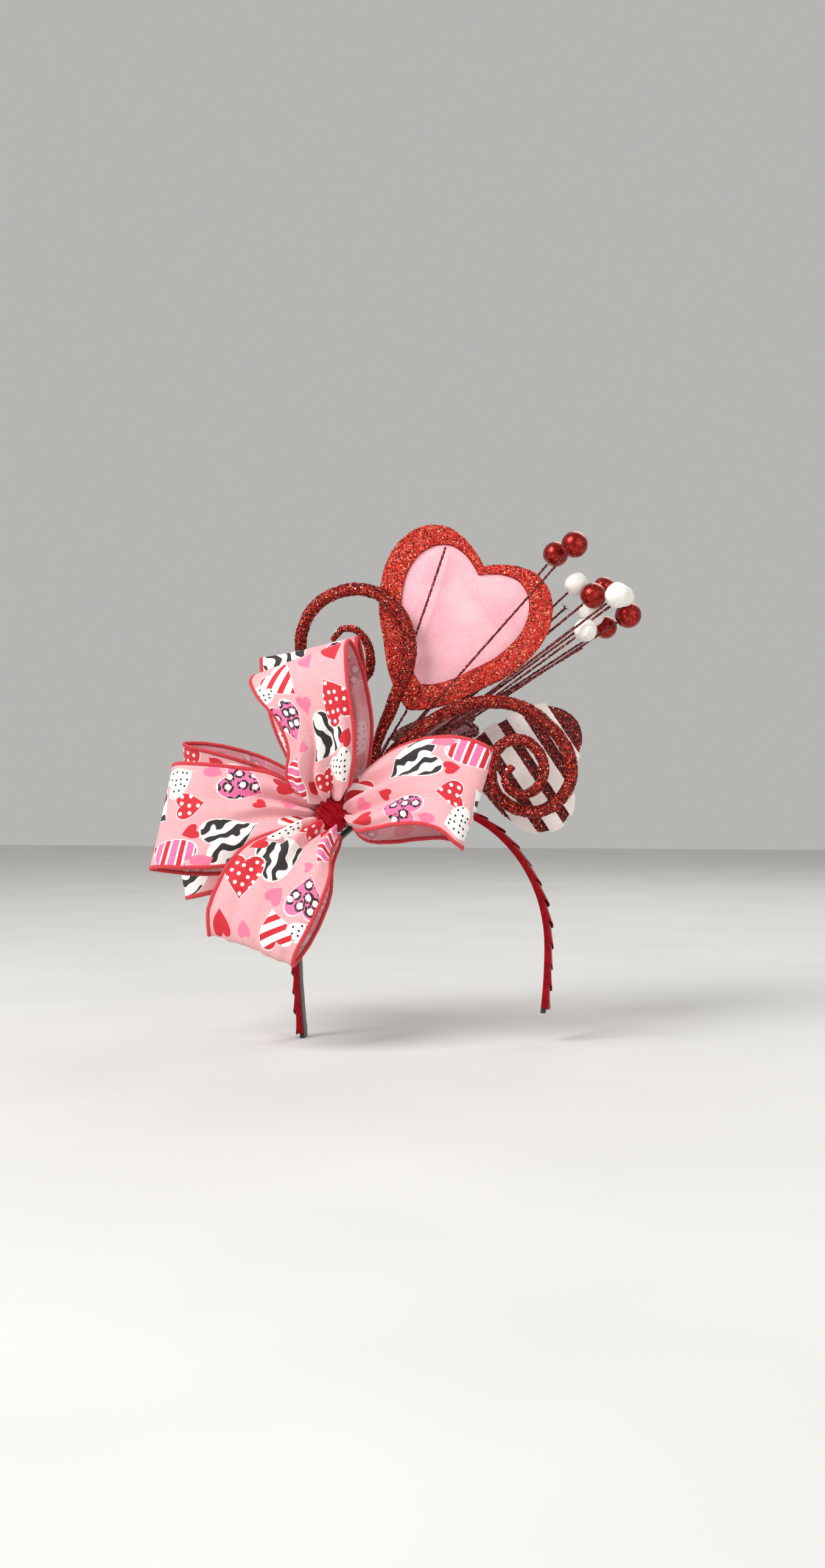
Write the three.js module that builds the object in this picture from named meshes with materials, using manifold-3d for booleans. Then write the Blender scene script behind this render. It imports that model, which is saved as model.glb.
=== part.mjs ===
// Valentine headband: an alice band wound with red satin ribbon, a seven-loop bow of printed
// ribbon on its left side, and a glitter spray of hearts, curls and berries behind the bow.
// Millimetres, +X across the head, +Y towards its back, +Z up. The origin is the crown of the
// band's inner face, where the headband sits on the head.
import * as THREE from 'three';
import Module from 'manifold-3d';
import { mergeVertices } from 'three/addons/utils/BufferGeometryUtils.js';

const wasm = await Module();
wasm.setup();

// Fit between neighbouring pieces
const clear = 0.3;

// Alice band
const headHalfWidth = 74;
const headRise = 82;
const legLength = 49;
const legLean = 3;
const bandSlide = 9;
const coreThickness = 3;
const coreWidth = 10;
const coreInset = 0.4;
const wrapWall = 0.8;
const wrapStep = 1.1;
const wrapPitch = 12.4;
const wrapSlant = 0.45;

// Bow. It sits on the left of the crown, and the band is bare from there to the right wrap.
const decorTurn = 9;
const bowSeat = -0.642 * headHalfWidth;
const tieRadius = 11;
const tieFront = 35;
const tieBack = 13;
const leftWrapGap = 0.5;
const rightWrapStart = 20.5;
const bareLeft = bowSeat - tieRadius - leftWrapGap;
const bareRight = bowSeat + rightWrapStart;
const ribbonWidth = 63.5;
const ribbonWall = 1.2;
const loopReach = 100;
const loopOpen = 30;
const pleatCount = 3;
const rootSpread = 2.7;

// Spray
const spraySize = 200;
const berrySize = 8;
const stemHubRadius = 7.6;
const stemHubFoot = 4.4;
const hubAcross = 23.2;
const hubUp = 23.9;
const hubBack = 6;
const hubFootBack = 2.5;
const wireRadius = 0.75;
const seatPitch = 2;
const straightRun = 4;

// Hearts
const bigHeartLength = 110;
const bigHeartHalf = 53.5;
const bigHeartDepth = 6;
const insertDepth = 3.4;
const stripedLength = 71;
const stripedHalf = 39;
const stripedDepth = 3;
const stripeWidth = 9.4;
const stripePitch = 16.8;
const stripeDepth = 1.4;
const smallHeartLength = 55;
const smallHeartHalf = 21;
const smallHeartDepth = 3.4;

// Curls
const curlRadius = 37;
const curlTube = 4;

const red = { satin: 0x96101f, glitter: 0xb3221a, dark: 0x7a1210, wire: 0x6d1f20 };
const paint = (color, roughness, metalness = 0) =>
  new THREE.MeshStandardMaterial({ color, roughness, metalness });
const deg = THREE.MathUtils.degToRad;
const vec = (x, y, z) => new THREE.Vector3(x, y, z);

function named(name, geometry, material) {
  const mesh = new THREE.Mesh(geometry, material);
  mesh.name = name;
  return mesh;
}

// A closed body through rings of equal count. Each end cap pairs the ring's first half with
// its second half, so a thin folded section is capped as well as a round one.
function loft(rings) {
  const count = rings[0].length;
  const positions = rings.flat().flatMap((p) => [p.x, p.y, p.z]);
  const faces = [];
  for (let i = 0; i + 1 < rings.length; i += 1) {
    for (let j = 0; j < count; j += 1) {
      const a = i * count + j;
      const b = i * count + ((j + 1) % count);
      faces.push(a, b, b + count, a, b + count, a + count);
    }
  }
  const last = (rings.length - 1) * count;
  for (let j = 0; j + 1 < count / 2; j += 1) {
    const near = [j, j + 1, count - 2 - j, count - 1 - j];
    const [a, b, c, d] = near;
    faces.push(a, c, b, a, d, c);
    faces.push(last + a, last + b, last + c, last + a, last + c, last + d);
  }
  let volume = 0;
  const at = (i) => vec(positions[3 * i], positions[3 * i + 1], positions[3 * i + 2]);
  for (let i = 0; i < faces.length; i += 3) {
    volume += at(faces[i]).dot(at(faces[i + 1]).cross(at(faces[i + 2])));
  }
  if (volume < 0) {
    faces.reverse();
  }
  const geometry = new THREE.BufferGeometry();
  geometry.setAttribute('position', new THREE.Float32BufferAttribute(positions, 3));
  geometry.setIndex(faces);
  geometry.computeVertexNormals();
  return geometry;
}

// Smooth values through the rows of a table, at share t of the way along it.
function between(rows, column, t) {
  const place = t * (rows.length - 1);
  const i = Math.min(Math.floor(place), rows.length - 2);
  const f = place - i;
  const value = (k) => rows[Math.min(Math.max(k, 0), rows.length - 1)][column];
  const p = [value(i - 1), value(i), value(i + 1), value(i + 2)];
  const cubic = 3 * (p[1] - p[2]) + p[3] - p[0];
  const square = 2 * p[0] - 5 * p[1] + 4 * p[2] - p[3];
  return p[1] + 0.5 * f * (p[2] - p[0] + f * (square + f * cubic));
}

// The line of the band's inner face, from the left tip over the crown to the right tip.
function bandLine() {
  const points = [];
  const leg = (side, length) => {
    const lean = (legLean * length) / legLength;
    return (share) => vec(side * (headHalfWidth - lean * share ** 2), 0, -headRise - length * share);
  };
  const left = leg(-1, legLength + bandSlide);
  const right = leg(1, legLength - bandSlide);
  const legSteps = 3;
  const archSteps = 24;
  for (let i = legSteps; i > 0; i -= 1) {
    points.push(left(i / legSteps));
  }
  for (let i = 0; i <= archSteps; i += 1) {
    const angle = ((i / archSteps) * 2 - 1) * (Math.PI / 2);
    points.push(vec(headHalfWidth * Math.sin(angle), 0, headRise * (Math.cos(angle) - 1)));
  }
  for (let i = 1; i <= legSteps; i += 1) {
    points.push(right(i / legSteps));
  }
  const curve = new THREE.CatmullRomCurve3(points);
  curve.arcLengthDivisions = 600;
  const length = curve.getLength();
  let crown = 0;
  for (let i = 0; i <= 600; i += 1) {
    const here = curve.getPointAt(i / 600);
    if (here.z > curve.getPointAt(crown).z) {
      crown = i / 600;
    }
  }
  const left0 = -crown * length;
  const at = (s) => {
    const u = Math.min(Math.max((s - left0) / length, 0), 1);
    const tangent = curve.getTangentAt(u);
    return { point: curve.getPointAt(u), out: vec(-tangent.z, 0, tangent.x), tangent };
  };
  return { start: left0, end: left0 + length, at };
}

const band = bandLine();

function bandCore() {
  const steps = 40;
  const rings = [];
  for (let i = 0; i <= steps; i += 1) {
    const s = band.start + coreInset + ((band.end - band.start - 2 * coreInset) * i) / steps;
    const { point, out } = band.at(s);
    const corner = (across, up) =>
      point.clone().addScaledVector(out, up).add(vec(0, across, 0));
    const w = coreWidth / 2;
    rings.push([corner(-w, coreThickness), corner(w, coreThickness), corner(w, 0), corner(-w, 0)]);
  }
  return loft(rings);
}

// Satin ribbon wound slantwise round the outer face and both edges. Each turn starts thin and
// stands proud where it laps the next, towards the band's tip.
function bandWrap(from, to) {
  const turns = Math.max(1, Math.round(Math.abs(to - from) / wrapPitch));
  const rings = [];
  const riser = 0.04;
  const lip = 0.2;
  const edge = coreWidth / 2 + clear;
  const stations = [];
  for (let k = 0; k < turns; k += 1) {
    stations.push([k + (k ? riser : 0), 0], [k + 0.5, 0.5], [k + 1, 1]);
  }
  const slide = wrapSlant * (edge + wrapWall) * Math.sign(to - from);
  const first = from + slide;
  const reach = to - from - 2 * slide;
  for (const [turn, proud] of stations) {
    const s = first + (reach * turn) / turns;
    const corner = (across, up) => {
      const slant = wrapSlant * across * Math.sign(to - from);
      const end = turn === turns || turn === 0;
      const { point, out } = band.at(s + (end ? 0 : slant));
      return point.clone().addScaledVector(out, up).add(vec(0, across, 0));
    };
    const top = coreThickness + clear;
    const rise = wrapWall + wrapStep * proud;
    rings.push([
      corner(-edge - wrapWall, lip),
      corner(-edge - wrapWall * 0.6, top + rise),
      corner(edge + wrapWall * 0.6, top + rise),
      corner(edge + wrapWall, lip),
      corner(edge, lip),
      corner(edge, top),
      corner(-edge, top),
      corner(-edge, lip),
    ]);
  }
  return loft(rings);
}

// Everything on the band is laid out in a frame turned about Z, with the bow's centre as origin.
const decor = new THREE.Group();
decor.rotation.z = deg(decorTurn);
const seat = band.at(bowSeat);
const bowCentre = seat.point
  .clone()
  .addScaledVector(seat.out, coreThickness + clear + tieRadius)
  .applyAxisAngle(vec(0, 0, 1), -deg(decorTurn));
const bow = new THREE.Group();
bow.position.copy(bowCentre);
decor.add(bow);

// Centre tie: a padded roll of satin across the band, with a domed front.
function centreTie() {
  const profile = [
    [0, -tieFront],
    [tieRadius * 0.7, -tieFront * 0.985],
    [tieRadius * 0.93, -tieFront * 0.92],
    [tieRadius, -tieFront * 0.78],
    [tieRadius * 0.96, -tieFront * 0.35],
    [tieRadius, tieBack * 0.3],
    [tieRadius * 0.85, tieBack * 0.88],
    [0, tieBack],
  ];
  return new THREE.LatheGeometry(profile.map(([r, y]) => new THREE.Vector2(r, y)), 20);
}

// Bow loops. Aim, near and roll are degrees: aim turns the loop round the tie from the right,
// near tips it forwards, and roll turns it about its own length. Reach is a share of loopReach,
// open of loopOpen, depth of tieFront and room, the way from tie to gathers, of rootSpread.
// Rows run from the tie to the fold: out is a share of the reach, lift of half the opening,
// wide, side and slant of the ribbon's width, and fold of the depth that full pleats would have.
// Side shifts a row towards its second hem, and slant sets that hem further out than the first.
const looseRows = [
  { out: 0, lift: 0.25, wide: 0.2, side: 0, slant: 0, fold: 0.3 },
  { out: 0.14, lift: 0.45, wide: 0.42, side: 0, slant: 0, fold: 0.35 },
  { out: 0.3, lift: 0.85, wide: 0.64, side: 0, slant: 0, fold: 0.4 },
  { out: 0.52, lift: 1, wide: 0.86, side: 0, slant: 0, fold: 0.4 },
  { out: 0.74, lift: 0.95, wide: 0.97, side: 0, slant: 0, fold: 0.4 },
  { out: 0.93, lift: 0.62, wide: 1, side: 0, slant: 0, fold: 0.4 },
  { out: 1, lift: 0, wide: 1, side: 0, slant: 0, fold: 0.4 },
];
const bowLoops = [
  {
    name: 'loop_top_front',
    aim: 101.4,
    near: 4,
    roll: 20,
    reach: 0.94,
    open: 1,
    depth: -0.771,
    room: 1.2,
    rows: [
      { out: 0, lift: 0.2, wide: 0.2, side: 0, slant: 0, fold: 0.4 },
      { out: 0.14, lift: 0.5, wide: 0.48, side: 0, slant: 0, fold: 0.6 },
      { out: 0.27, lift: 0.8, wide: 0.67, side: 0.02, slant: 0, fold: 0.8 },
      { out: 0.46, lift: 0.95, wide: 0.67, side: 0.11, slant: 0, fold: 0.7 },
      { out: 0.66, lift: 1, wide: 0.75, side: 0.11, slant: 0.03, fold: 0.55 },
      { out: 0.84, lift: 0.85, wide: 0.92, side: 0.04, slant: 0.08, fold: 0.45 },
      { out: 0.96, lift: 0.45, wide: 1, side: 0, slant: 0.14, fold: 0.4 },
      { out: 1, lift: 0, wide: 1, side: 0, slant: 0.15, fold: 0.4 },
    ],
  },
  {
    name: 'loop_top_back',
    aim: 99,
    near: -2,
    roll: 18,
    reach: 1.02,
    open: 0.4,
    depth: -0.11,
    room: 0.59,
    rows: looseRows,
  },
  {
    name: 'loop_left_front',
    aim: 180,
    near: 3,
    roll: -12,
    reach: 1.01,
    open: 0.867,
    depth: -0.557,
    room: 0.75,
    rows: [
      { out: 0, lift: 0.2, wide: 0.2, side: 0, slant: 0, fold: 0.4 },
      { out: 0.16, lift: 0.5, wide: 0.36, side: 0, slant: 0, fold: 0.5 },
      { out: 0.36, lift: 0.85, wide: 0.7, side: 0.02, slant: 0, fold: 0.8 },
      { out: 0.6, lift: 1, wide: 0.93, side: -0.04, slant: 0, fold: 0.7 },
      { out: 0.8, lift: 0.9, wide: 0.98, side: -0.04, slant: -0.06, fold: 0.55 },
      { out: 0.95, lift: 0.5, wide: 0.98, side: -0.02, slant: -0.15, fold: 0.45 },
      { out: 1, lift: 0, wide: 0.98, side: -0.02, slant: -0.18, fold: 0.4 },
    ],
  },
  {
    name: 'loop_left_back',
    aim: 172,
    near: -20,
    roll: 20,
    reach: 1.04,
    open: 0.533,
    depth: 0.229,
    room: 0.7,
    rows: looseRows,
  },
  {
    name: 'loop_low_front',
    aim: 237.8,
    near: 24,
    roll: -29,
    reach: 0.95,
    open: 0.867,
    depth: -0.886,
    room: 0.3,
    rows: [
      { out: 0, lift: 0.22, wide: 0.2, side: 0, slant: 0, fold: 0.4 },
      { out: 0.12, lift: 0.45, wide: 0.33, side: 0, slant: 0, fold: 0.7 },
      { out: 0.25, lift: 0.75, wide: 0.52, side: 0.05, slant: 0, fold: 0.8 },
      { out: 0.42, lift: 1, wide: 0.74, side: 0.08, slant: 0, fold: 0.7 },
      { out: 0.6, lift: 1, wide: 0.88, side: 0.1, slant: 0, fold: 0.55 },
      { out: 0.78, lift: 0.9, wide: 0.92, side: 0.09, slant: 0, fold: 0.45 },
      { out: 0.93, lift: 0.55, wide: 0.88, side: 0.05, slant: 0.06, fold: 0.4 },
      { out: 1, lift: 0, wide: 0.82, side: 0, slant: 0.11, fold: 0.4 },
    ],
  },
  {
    name: 'loop_low_back',
    aim: 192,
    near: -13,
    roll: -6,
    reach: 1.01,
    open: 0.333,
    depth: -0.25,
    room: 0.33,
    rows: looseRows,
  },
  {
    name: 'loop_right',
    aim: 8.4,
    near: 25,
    roll: 24,
    reach: 0.93,
    open: 0.9,
    depth: -0.686,
    room: 0.62,
    rows: [
      { out: 0, lift: 0.25, wide: 0.2, side: 0, slant: 0, fold: 0.4 },
      { out: 0.18, lift: 0.5, wide: 0.5, side: -0.03, slant: 0, fold: 0.7 },
      { out: 0.33, lift: 0.8, wide: 0.66, side: -0.07, slant: 0, fold: 0.8 },
      { out: 0.53, lift: 1, wide: 0.76, side: -0.12, slant: 0, fold: 0.7 },
      { out: 0.7, lift: 0.98, wide: 0.83, side: -0.13, slant: -0.05, fold: 0.55 },
      { out: 0.86, lift: 0.8, wide: 0.91, side: -0.1, slant: -0.18, fold: 0.45 },
      { out: 0.97, lift: 0.4, wide: 0.97, side: -0.03, slant: -0.32, fold: 0.4 },
      { out: 1, lift: 0, wide: 0.96, side: 0, slant: -0.36, fold: 0.4 },
    ],
  },
];

// Two square axes turned by an angle, the first towards the second.
function turnedPair(first, second, angle) {
  const [c, s] = [Math.cos(angle), Math.sin(angle)];
  return [
    first.clone().multiplyScalar(c).addScaledVector(second, s),
    second.clone().multiplyScalar(c).addScaledVector(first, -s),
  ];
}

// A loop's own axes: out along its reach, side across the ribbon, lift off its front layer.
function loopAxes({ aim, near, roll }) {
  const flat = vec(Math.cos(deg(aim)), 0, Math.sin(deg(aim)));
  const front = vec(0, -1, 0);
  const level = vec(Math.sin(deg(aim)), 0, -Math.cos(deg(aim)));
  const [out, face] = turnedPair(flat, front, deg(near));
  const [side, lift] = turnedPair(level, face, deg(roll));
  return { out, side, lift };
}

function ribbonLoop(loop) {
  const axes = loopAxes(loop);
  const reach = loop.reach * loopReach;
  const open = loop.open * loopOpen;
  const root = (tieRadius + clear + loop.room * rootSpread) / Math.cos(deg(loop.near));
  const back = loop.rows.slice(0, -1).reverse();
  const rows = [...loop.rows, ...back.map((row) => ({ ...row, lift: -row.lift }))];
  const hems = rows.map((row) => {
    const raised = Math.sign(row.lift) * Math.max((Math.abs(row.lift) * open) / 2, rootSpread);
    const middle = axes.out
      .clone()
      .multiplyScalar(Math.max(row.out * reach, root))
      .addScaledVector(axes.side, row.side * ribbonWidth)
      .addScaledVector(axes.lift, raised)
      .add(vec(0, loop.depth * tieFront, 0));
    const half = axes.side
      .clone()
      .multiplyScalar((row.wide * ribbonWidth) / 2)
      .addScaledVector(axes.out, (row.slant * ribbonWidth) / 2);
    return [middle.clone().sub(half), middle.clone().add(half)];
  });
  const first = new THREE.CatmullRomCurve3(hems.map((pair) => pair[0]));
  const second = new THREE.CatmullRomCurve3(hems.map((pair) => pair[1]));
  const steps = 20;
  const across = 2 * pleatCount;
  const rings = [];
  for (let i = 0; i <= steps; i += 1) {
    const t = i / steps;
    const a = first.getPoint(t);
    const b = second.getPoint(t);
    const along = first.getTangent(t).add(second.getTangent(t));
    const span = b.clone().sub(a);
    const normal = span.clone().cross(along).normalize();
    const spare = Math.max(0, ribbonWidth ** 2 - span.lengthSq());
    const layer = Math.cos(Math.PI * t);
    const pleat = (layer * between(rows, 'fold', t) * Math.sqrt(spare)) / across / 2;
    const outer = [];
    const inner = [];
    for (let j = 0; j <= across; j += 1) {
      const fold = j % 2 ? pleat : -pleat;
      const point = a.clone().addScaledVector(span, j / across);
      outer.push(point.clone().addScaledVector(normal, fold + ribbonWall / 2));
      inner.push(point.clone().addScaledVector(normal, fold - ribbonWall / 2));
    }
    rings.push([...outer, ...inner.reverse()]);
  }
  return loft(rings);
}

// Spray of glitter pieces, measured from the middle of the stem hub's top face.
const hubTop = vec(hubAcross, hubBack, hubUp);
const spray = new THREE.Group();
spray.position.copy(hubTop);
bow.add(spray);
const hubAxis = vec(hubAcross, 0, hubUp).normalize();
const hubSide = vec(hubUp, 0, -hubAcross).normalize();

// A place in the spray, in shares of its size.
const inSpray = (across, back, up) => vec(across, back, up).multiplyScalar(spraySize);

function stemHub() {
  const foot = tieRadius + clear;
  const reach = Math.hypot(hubAcross, hubUp);
  const sections = [
    { at: foot, radius: stemHubFoot, back: hubFootBack },
    { at: foot + (reach - foot) * 0.3, radius: stemHubFoot * 1.15, back: hubFootBack },
    { at: foot + (reach - foot) * 0.7, radius: stemHubRadius * 0.95, back: hubBack * 0.8 },
    { at: reach, radius: stemHubRadius, back: hubBack },
  ];
  const sides = 14;
  return loft(
    sections.map(({ at, radius, back }) =>
      Array.from({ length: sides }, (_, k) => {
        const angle = (2 * Math.PI * k) / sides;
        return hubAxis
          .clone()
          .multiplyScalar(at)
          .addScaledVector(hubSide, radius * Math.cos(angle))
          .add(vec(0, back + radius * Math.sin(angle), 0));
      }),
    ),
  );
}

// A place on the hub's top face, in seats across and seats back, clear of the face itself.
function hubSeat(across, back) {
  return hubSide
    .clone()
    .multiplyScalar(across * seatPitch)
    .add(vec(0, back * seatPitch, 0))
    .addScaledVector(hubAxis, clear);
}

function wire(points, radius = wireRadius) {
  const sides = 5;
  const ring = Array.from({ length: sides }, (_, k) => {
    const angle = (2 * Math.PI * k) / sides;
    return new THREE.Vector2(radius * Math.cos(angle), radius * Math.sin(angle));
  });
  return new THREE.ExtrudeGeometry(new THREE.Shape(ring), {
    steps: 2 * (points.length - 1),
    bevelEnabled: false,
    extrudePath: new THREE.CatmullRomCurve3(points),
  });
}

// Half outline of a heart, as shares of its length and half width.
const heartRows = [
  { along: 0, across: 0 },
  { along: 0.055, across: 0.2 },
  { along: 0.15, across: 0.41 },
  { along: 0.28, across: 0.61 },
  { along: 0.42, across: 0.82 },
  { along: 0.57, across: 0.95 },
  { along: 0.7, across: 1 },
  { along: 0.83, across: 0.96 },
  { along: 0.94, across: 0.82 },
  { along: 1, across: 0.58 },
  { along: 0.985, across: 0.32 },
  { along: 0.94, across: 0.12 },
  { along: 0.9, across: 0 },
];

function heartOutline(length, half, margin = 0) {
  const steps = length > smallHeartLength ? 18 : 12;
  const side = [];
  for (let i = 0; i <= steps; i += 1) {
    const across = between(heartRows, 'across', i / steps) * half;
    const along = between(heartRows, 'along', i / steps) * length;
    side.push(new THREE.Vector2(across, along));
  }
  const outline = [...side, ...side.slice(1, -1).reverse().map((p) => new THREE.Vector2(-p.x, p.y))];
  return outline.map((p, i) => {
    const before = outline[(i + outline.length - 1) % outline.length];
    const after = outline[(i + 1) % outline.length];
    const run = after.clone().sub(before).normalize();
    return new THREE.Vector2(p.x + run.y * margin, p.y - run.x * margin);
  });
}

function plate(outline, depth, bevel = 0, hole = null) {
  const shape = new THREE.Shape(outline);
  if (hole) {
    shape.holes.push(new THREE.Path(hole));
  }
  const geometry = new THREE.ExtrudeGeometry(shape, {
    depth: depth - 2 * bevel,
    bevelEnabled: bevel > 0,
    bevelThickness: bevel,
    bevelSize: bevel,
    bevelOffset: -bevel,
    bevelSegments: 1,
  });
  return geometry.translate(0, 0, bevel - depth / 2);
}

// A heart lies in its own XY plane, tip at the origin. Its frame in the spray: the axis leans
// clockwise from upright, pitch tips its lobes back, and yaw turns it about its own axis.
function heartFrame({ tip, lean, pitch, yaw }) {
  const group = new THREE.Group();
  group.position.copy(tip);
  group.rotation.order = 'YXZ';
  const turn = new THREE.Matrix4()
    .makeRotationY(deg(lean))
    .multiply(new THREE.Matrix4().makeRotationX(-deg(pitch)))
    .multiply(new THREE.Matrix4().makeRotationZ(deg(yaw)))
    .multiply(new THREE.Matrix4().makeRotationX(Math.PI / 2));
  group.setRotationFromMatrix(turn);
  return group;
}

const insertAlong = 0.765;
const insertAcross = 0.735;
const insertStart = 0.155;

// Rim and recessed insert of a heart, added to its frame.
function framedHeart(frame, name, size, materials) {
  const inner = heartOutline(size.length * insertAlong, size.half * insertAcross);
  const opening = heartOutline(size.length * insertAlong, size.half * insertAcross, clear);
  const lift = (p) => new THREE.Vector2(p.x, p.y + size.length * insertStart);
  const rim = plate(heartOutline(size.length, size.half), size.depth, size.depth * 0.2, opening.map(lift));
  const insert = plate(inner.map(lift), size.insert);
  frame.add(named(`${name}_frame`, rim, materials.rim));
  frame.add(named(`${name}_insert`, insert, materials.insert));
}

const glitter = paint(red.glitter, 0.45, 0.3);
const darkGlitter = paint(red.dark, 0.5, 0.3);
const satin = paint(red.satin, 0.35);
const stemPaint = paint(red.wire, 0.5, 0.3);

const bigHeart = heartFrame({ tip: inSpray(0.102, 0, 0.198), lean: 28, pitch: 3, yaw: 0 });
framedHeart(
  bigHeart,
  'big_heart',
  { length: bigHeartLength, half: bigHeartHalf, depth: bigHeartDepth, insert: insertDepth },
  { rim: glitter, insert: paint(0xf5aabe, 0.85) },
);
spray.add(bigHeart);

const smallHeart = heartFrame({ tip: inSpray(0.0485, 0.17, 0.1175), lean: 80, pitch: 0, yaw: -62 });
framedHeart(
  smallHeart,
  'small_heart',
  { length: smallHeartLength, half: smallHeartHalf, depth: smallHeartDepth, insert: smallHeartDepth * 0.6 },
  { rim: darkGlitter, insert: paint(0xb06a76, 0.85) },
);
spray.add(smallHeart);

// Striped heart: a flat glitter heart with foam strips across its front face, cut a little
// past its edge.
const stripedHeart = heartFrame({ tip: inSpray(0.273, 0.05, 0.062), lean: 100, pitch: 3, yaw: -6 });
const stripedOutline = heartOutline(stripedLength, stripedHalf);
const stripedPlate = plate(stripedOutline, stripedDepth, stripedDepth / 6);
stripedHeart.add(named('striped_heart', stripedPlate, darkGlitter));
const stripeTurn = 43;
const stripeOverhang = 1.6;
const stripeOffsets = [-1.3, -0.32, 0.62, 1.6];

function solidOf(geometry) {
  const bare = geometry.index ? geometry.toNonIndexed() : geometry.clone();
  bare.deleteAttribute('normal');
  bare.deleteAttribute('uv');
  const merged = mergeVertices(bare, 1e-4);
  return new wasm.Manifold(
    new wasm.Mesh({
      numProp: 3,
      vertProperties: new Float32Array(merged.attributes.position.array),
      triVerts: new Uint32Array(merged.index.array),
    }),
  );
}

function geometryOf(solid) {
  const mesh = solid.getMesh();
  const geometry = new THREE.BufferGeometry();
  geometry.setAttribute('position', new THREE.BufferAttribute(mesh.vertProperties, 3));
  geometry.setIndex(new THREE.BufferAttribute(mesh.triVerts, 1));
  geometry.computeVertexNormals();
  return geometry;
}

const stripeField = solidOf(
  plate(heartOutline(stripedLength, stripedHalf, stripeOverhang), stripeDepth).translate(
    0,
    0,
    stripedDepth / 2 + clear + stripeDepth / 2,
  ),
);
stripeOffsets.forEach((offset, i) => {
  const bar = new THREE.BoxGeometry(4 * stripedHalf, stripeWidth, 4 * stripeDepth)
    .translate(0, offset * stripePitch, stripedDepth / 2 + clear + stripeDepth / 2)
    .rotateZ(deg(stripeTurn))
    .translate(0, stripedLength * 0.55, 0);
  const strip = geometryOf(stripeField.intersect(solidOf(bar)));
  stripedHeart.add(named(`foam_strip_${i + 1}`, strip, paint(0xd9cdc8, 0.9)));
});
spray.add(stripedHeart);

// Curls. Rows give the turn in degrees about the curl's centre, its radius and its place in
// depth as shares of curlRadius, and the tube's thickness as a share of the full tube.
const leftCurlRows = [
  { turn: -79, radius: 1.9, depth: -0.149, tube: 0.66 },
  { turn: -70, radius: 1.47, depth: -0.189, tube: 0.8 },
  { turn: -60, radius: 1.26, depth: -0.23, tube: 0.95 },
  { turn: -44, radius: 1.06, depth: -0.27, tube: 1 },
  { turn: -24, radius: 1, depth: -0.297, tube: 1 },
  { turn: -4, radius: 0.97, depth: -0.297, tube: 1 },
  { turn: 16, radius: 0.965, depth: -0.297, tube: 1 },
  { turn: 36, radius: 0.96, depth: -0.284, tube: 1 },
  { turn: 56, radius: 0.97, depth: -0.257, tube: 1 },
  { turn: 76, radius: 0.955, depth: -0.216, tube: 0.98 },
  { turn: 98, radius: 0.925, depth: -0.149, tube: 0.96 },
  { turn: 122, radius: 0.9, depth: -0.081, tube: 0.94 },
  { turn: 148, radius: 0.87, depth: 0.027, tube: 0.92 },
  { turn: 176, radius: 0.84, depth: 0.135, tube: 0.9 },
  { turn: 208, radius: 0.78, depth: 0.216, tube: 0.88 },
  { turn: 242, radius: 0.67, depth: 0.243, tube: 0.85 },
  { turn: 276, radius: 0.59, depth: 0.216, tube: 0.8 },
  { turn: 308, radius: 0.47, depth: 0.162, tube: 0.76 },
  { turn: 340, radius: 0.33, depth: 0.081, tube: 0.7 },
  { turn: 385, radius: 0.27, depth: 0.014, tube: 0.62 },
  { turn: 432, radius: 0.3, depth: 0, tube: 0.55 },
  { turn: 474, radius: 0.33, depth: 0, tube: 0.48 },
  { turn: 520, radius: 0.33, depth: 0, tube: 0.42 },
];
const rightCurlRows = [
  { turn: 175, radius: 2.19, depth: -0.135, tube: 0.7 },
  { turn: 170, radius: 2.04, depth: -0.189, tube: 0.88 },
  { turn: 164, radius: 1.87, depth: -0.243, tube: 1 },
  { turn: 152, radius: 1.64, depth: -0.243, tube: 1 },
  { turn: 139, radius: 1.45, depth: -0.27, tube: 1 },
  { turn: 123, radius: 1.27, depth: -0.27, tube: 1 },
  { turn: 105, radius: 1.1, depth: -0.27, tube: 1 },
  { turn: 84, radius: 0.95, depth: -0.27, tube: 1 },
  { turn: 60, radius: 0.82, depth: -0.27, tube: 1 },
  { turn: 33, radius: 0.79, depth: -0.27, tube: 0.98 },
  { turn: 7, radius: 0.8, depth: -0.27, tube: 0.98 },
  { turn: -18, radius: 0.82, depth: -0.27, tube: 0.96 },
  { turn: -43, radius: 0.8, depth: -0.27, tube: 0.96 },
  { turn: -68, radius: 0.76, depth: -0.27, tube: 0.95 },
  { turn: -94, radius: 0.68, depth: -0.284, tube: 0.93 },
  { turn: -121, radius: 0.615, depth: -0.297, tube: 0.92 },
  { turn: -149, radius: 0.56, depth: -0.324, tube: 0.9 },
  { turn: -182, radius: 0.51, depth: -0.351, tube: 0.88 },
  { turn: -214, radius: 0.5, depth: -0.378, tube: 0.86 },
  { turn: -244, radius: 0.49, depth: -0.405, tube: 0.84 },
  { turn: -275, radius: 0.44, depth: -0.432, tube: 0.82 },
  { turn: -318, radius: 0.36, depth: -0.459, tube: 0.8 },
  { turn: -366, radius: 0.35, depth: -0.486, tube: 0.78 },
  { turn: -412, radius: 0.4, depth: -0.486, tube: 0.75 },
  { turn: -448, radius: 0.435, depth: -0.486, tube: 0.72 },
  { turn: -480, radius: 0.41, depth: -0.486, tube: 0.68 },
  { turn: -512, radius: 0.32, depth: -0.473, tube: 0.62 },
  { turn: -548, radius: 0.16, depth: -0.446, tube: 0.55 },
];
const leftCurlCentre = vec(-0.373, 0, 2.0865).multiplyScalar(curlRadius);
const rightCurlCentre = vec(2.4135, 0, 0.108).multiplyScalar(curlRadius);

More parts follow.
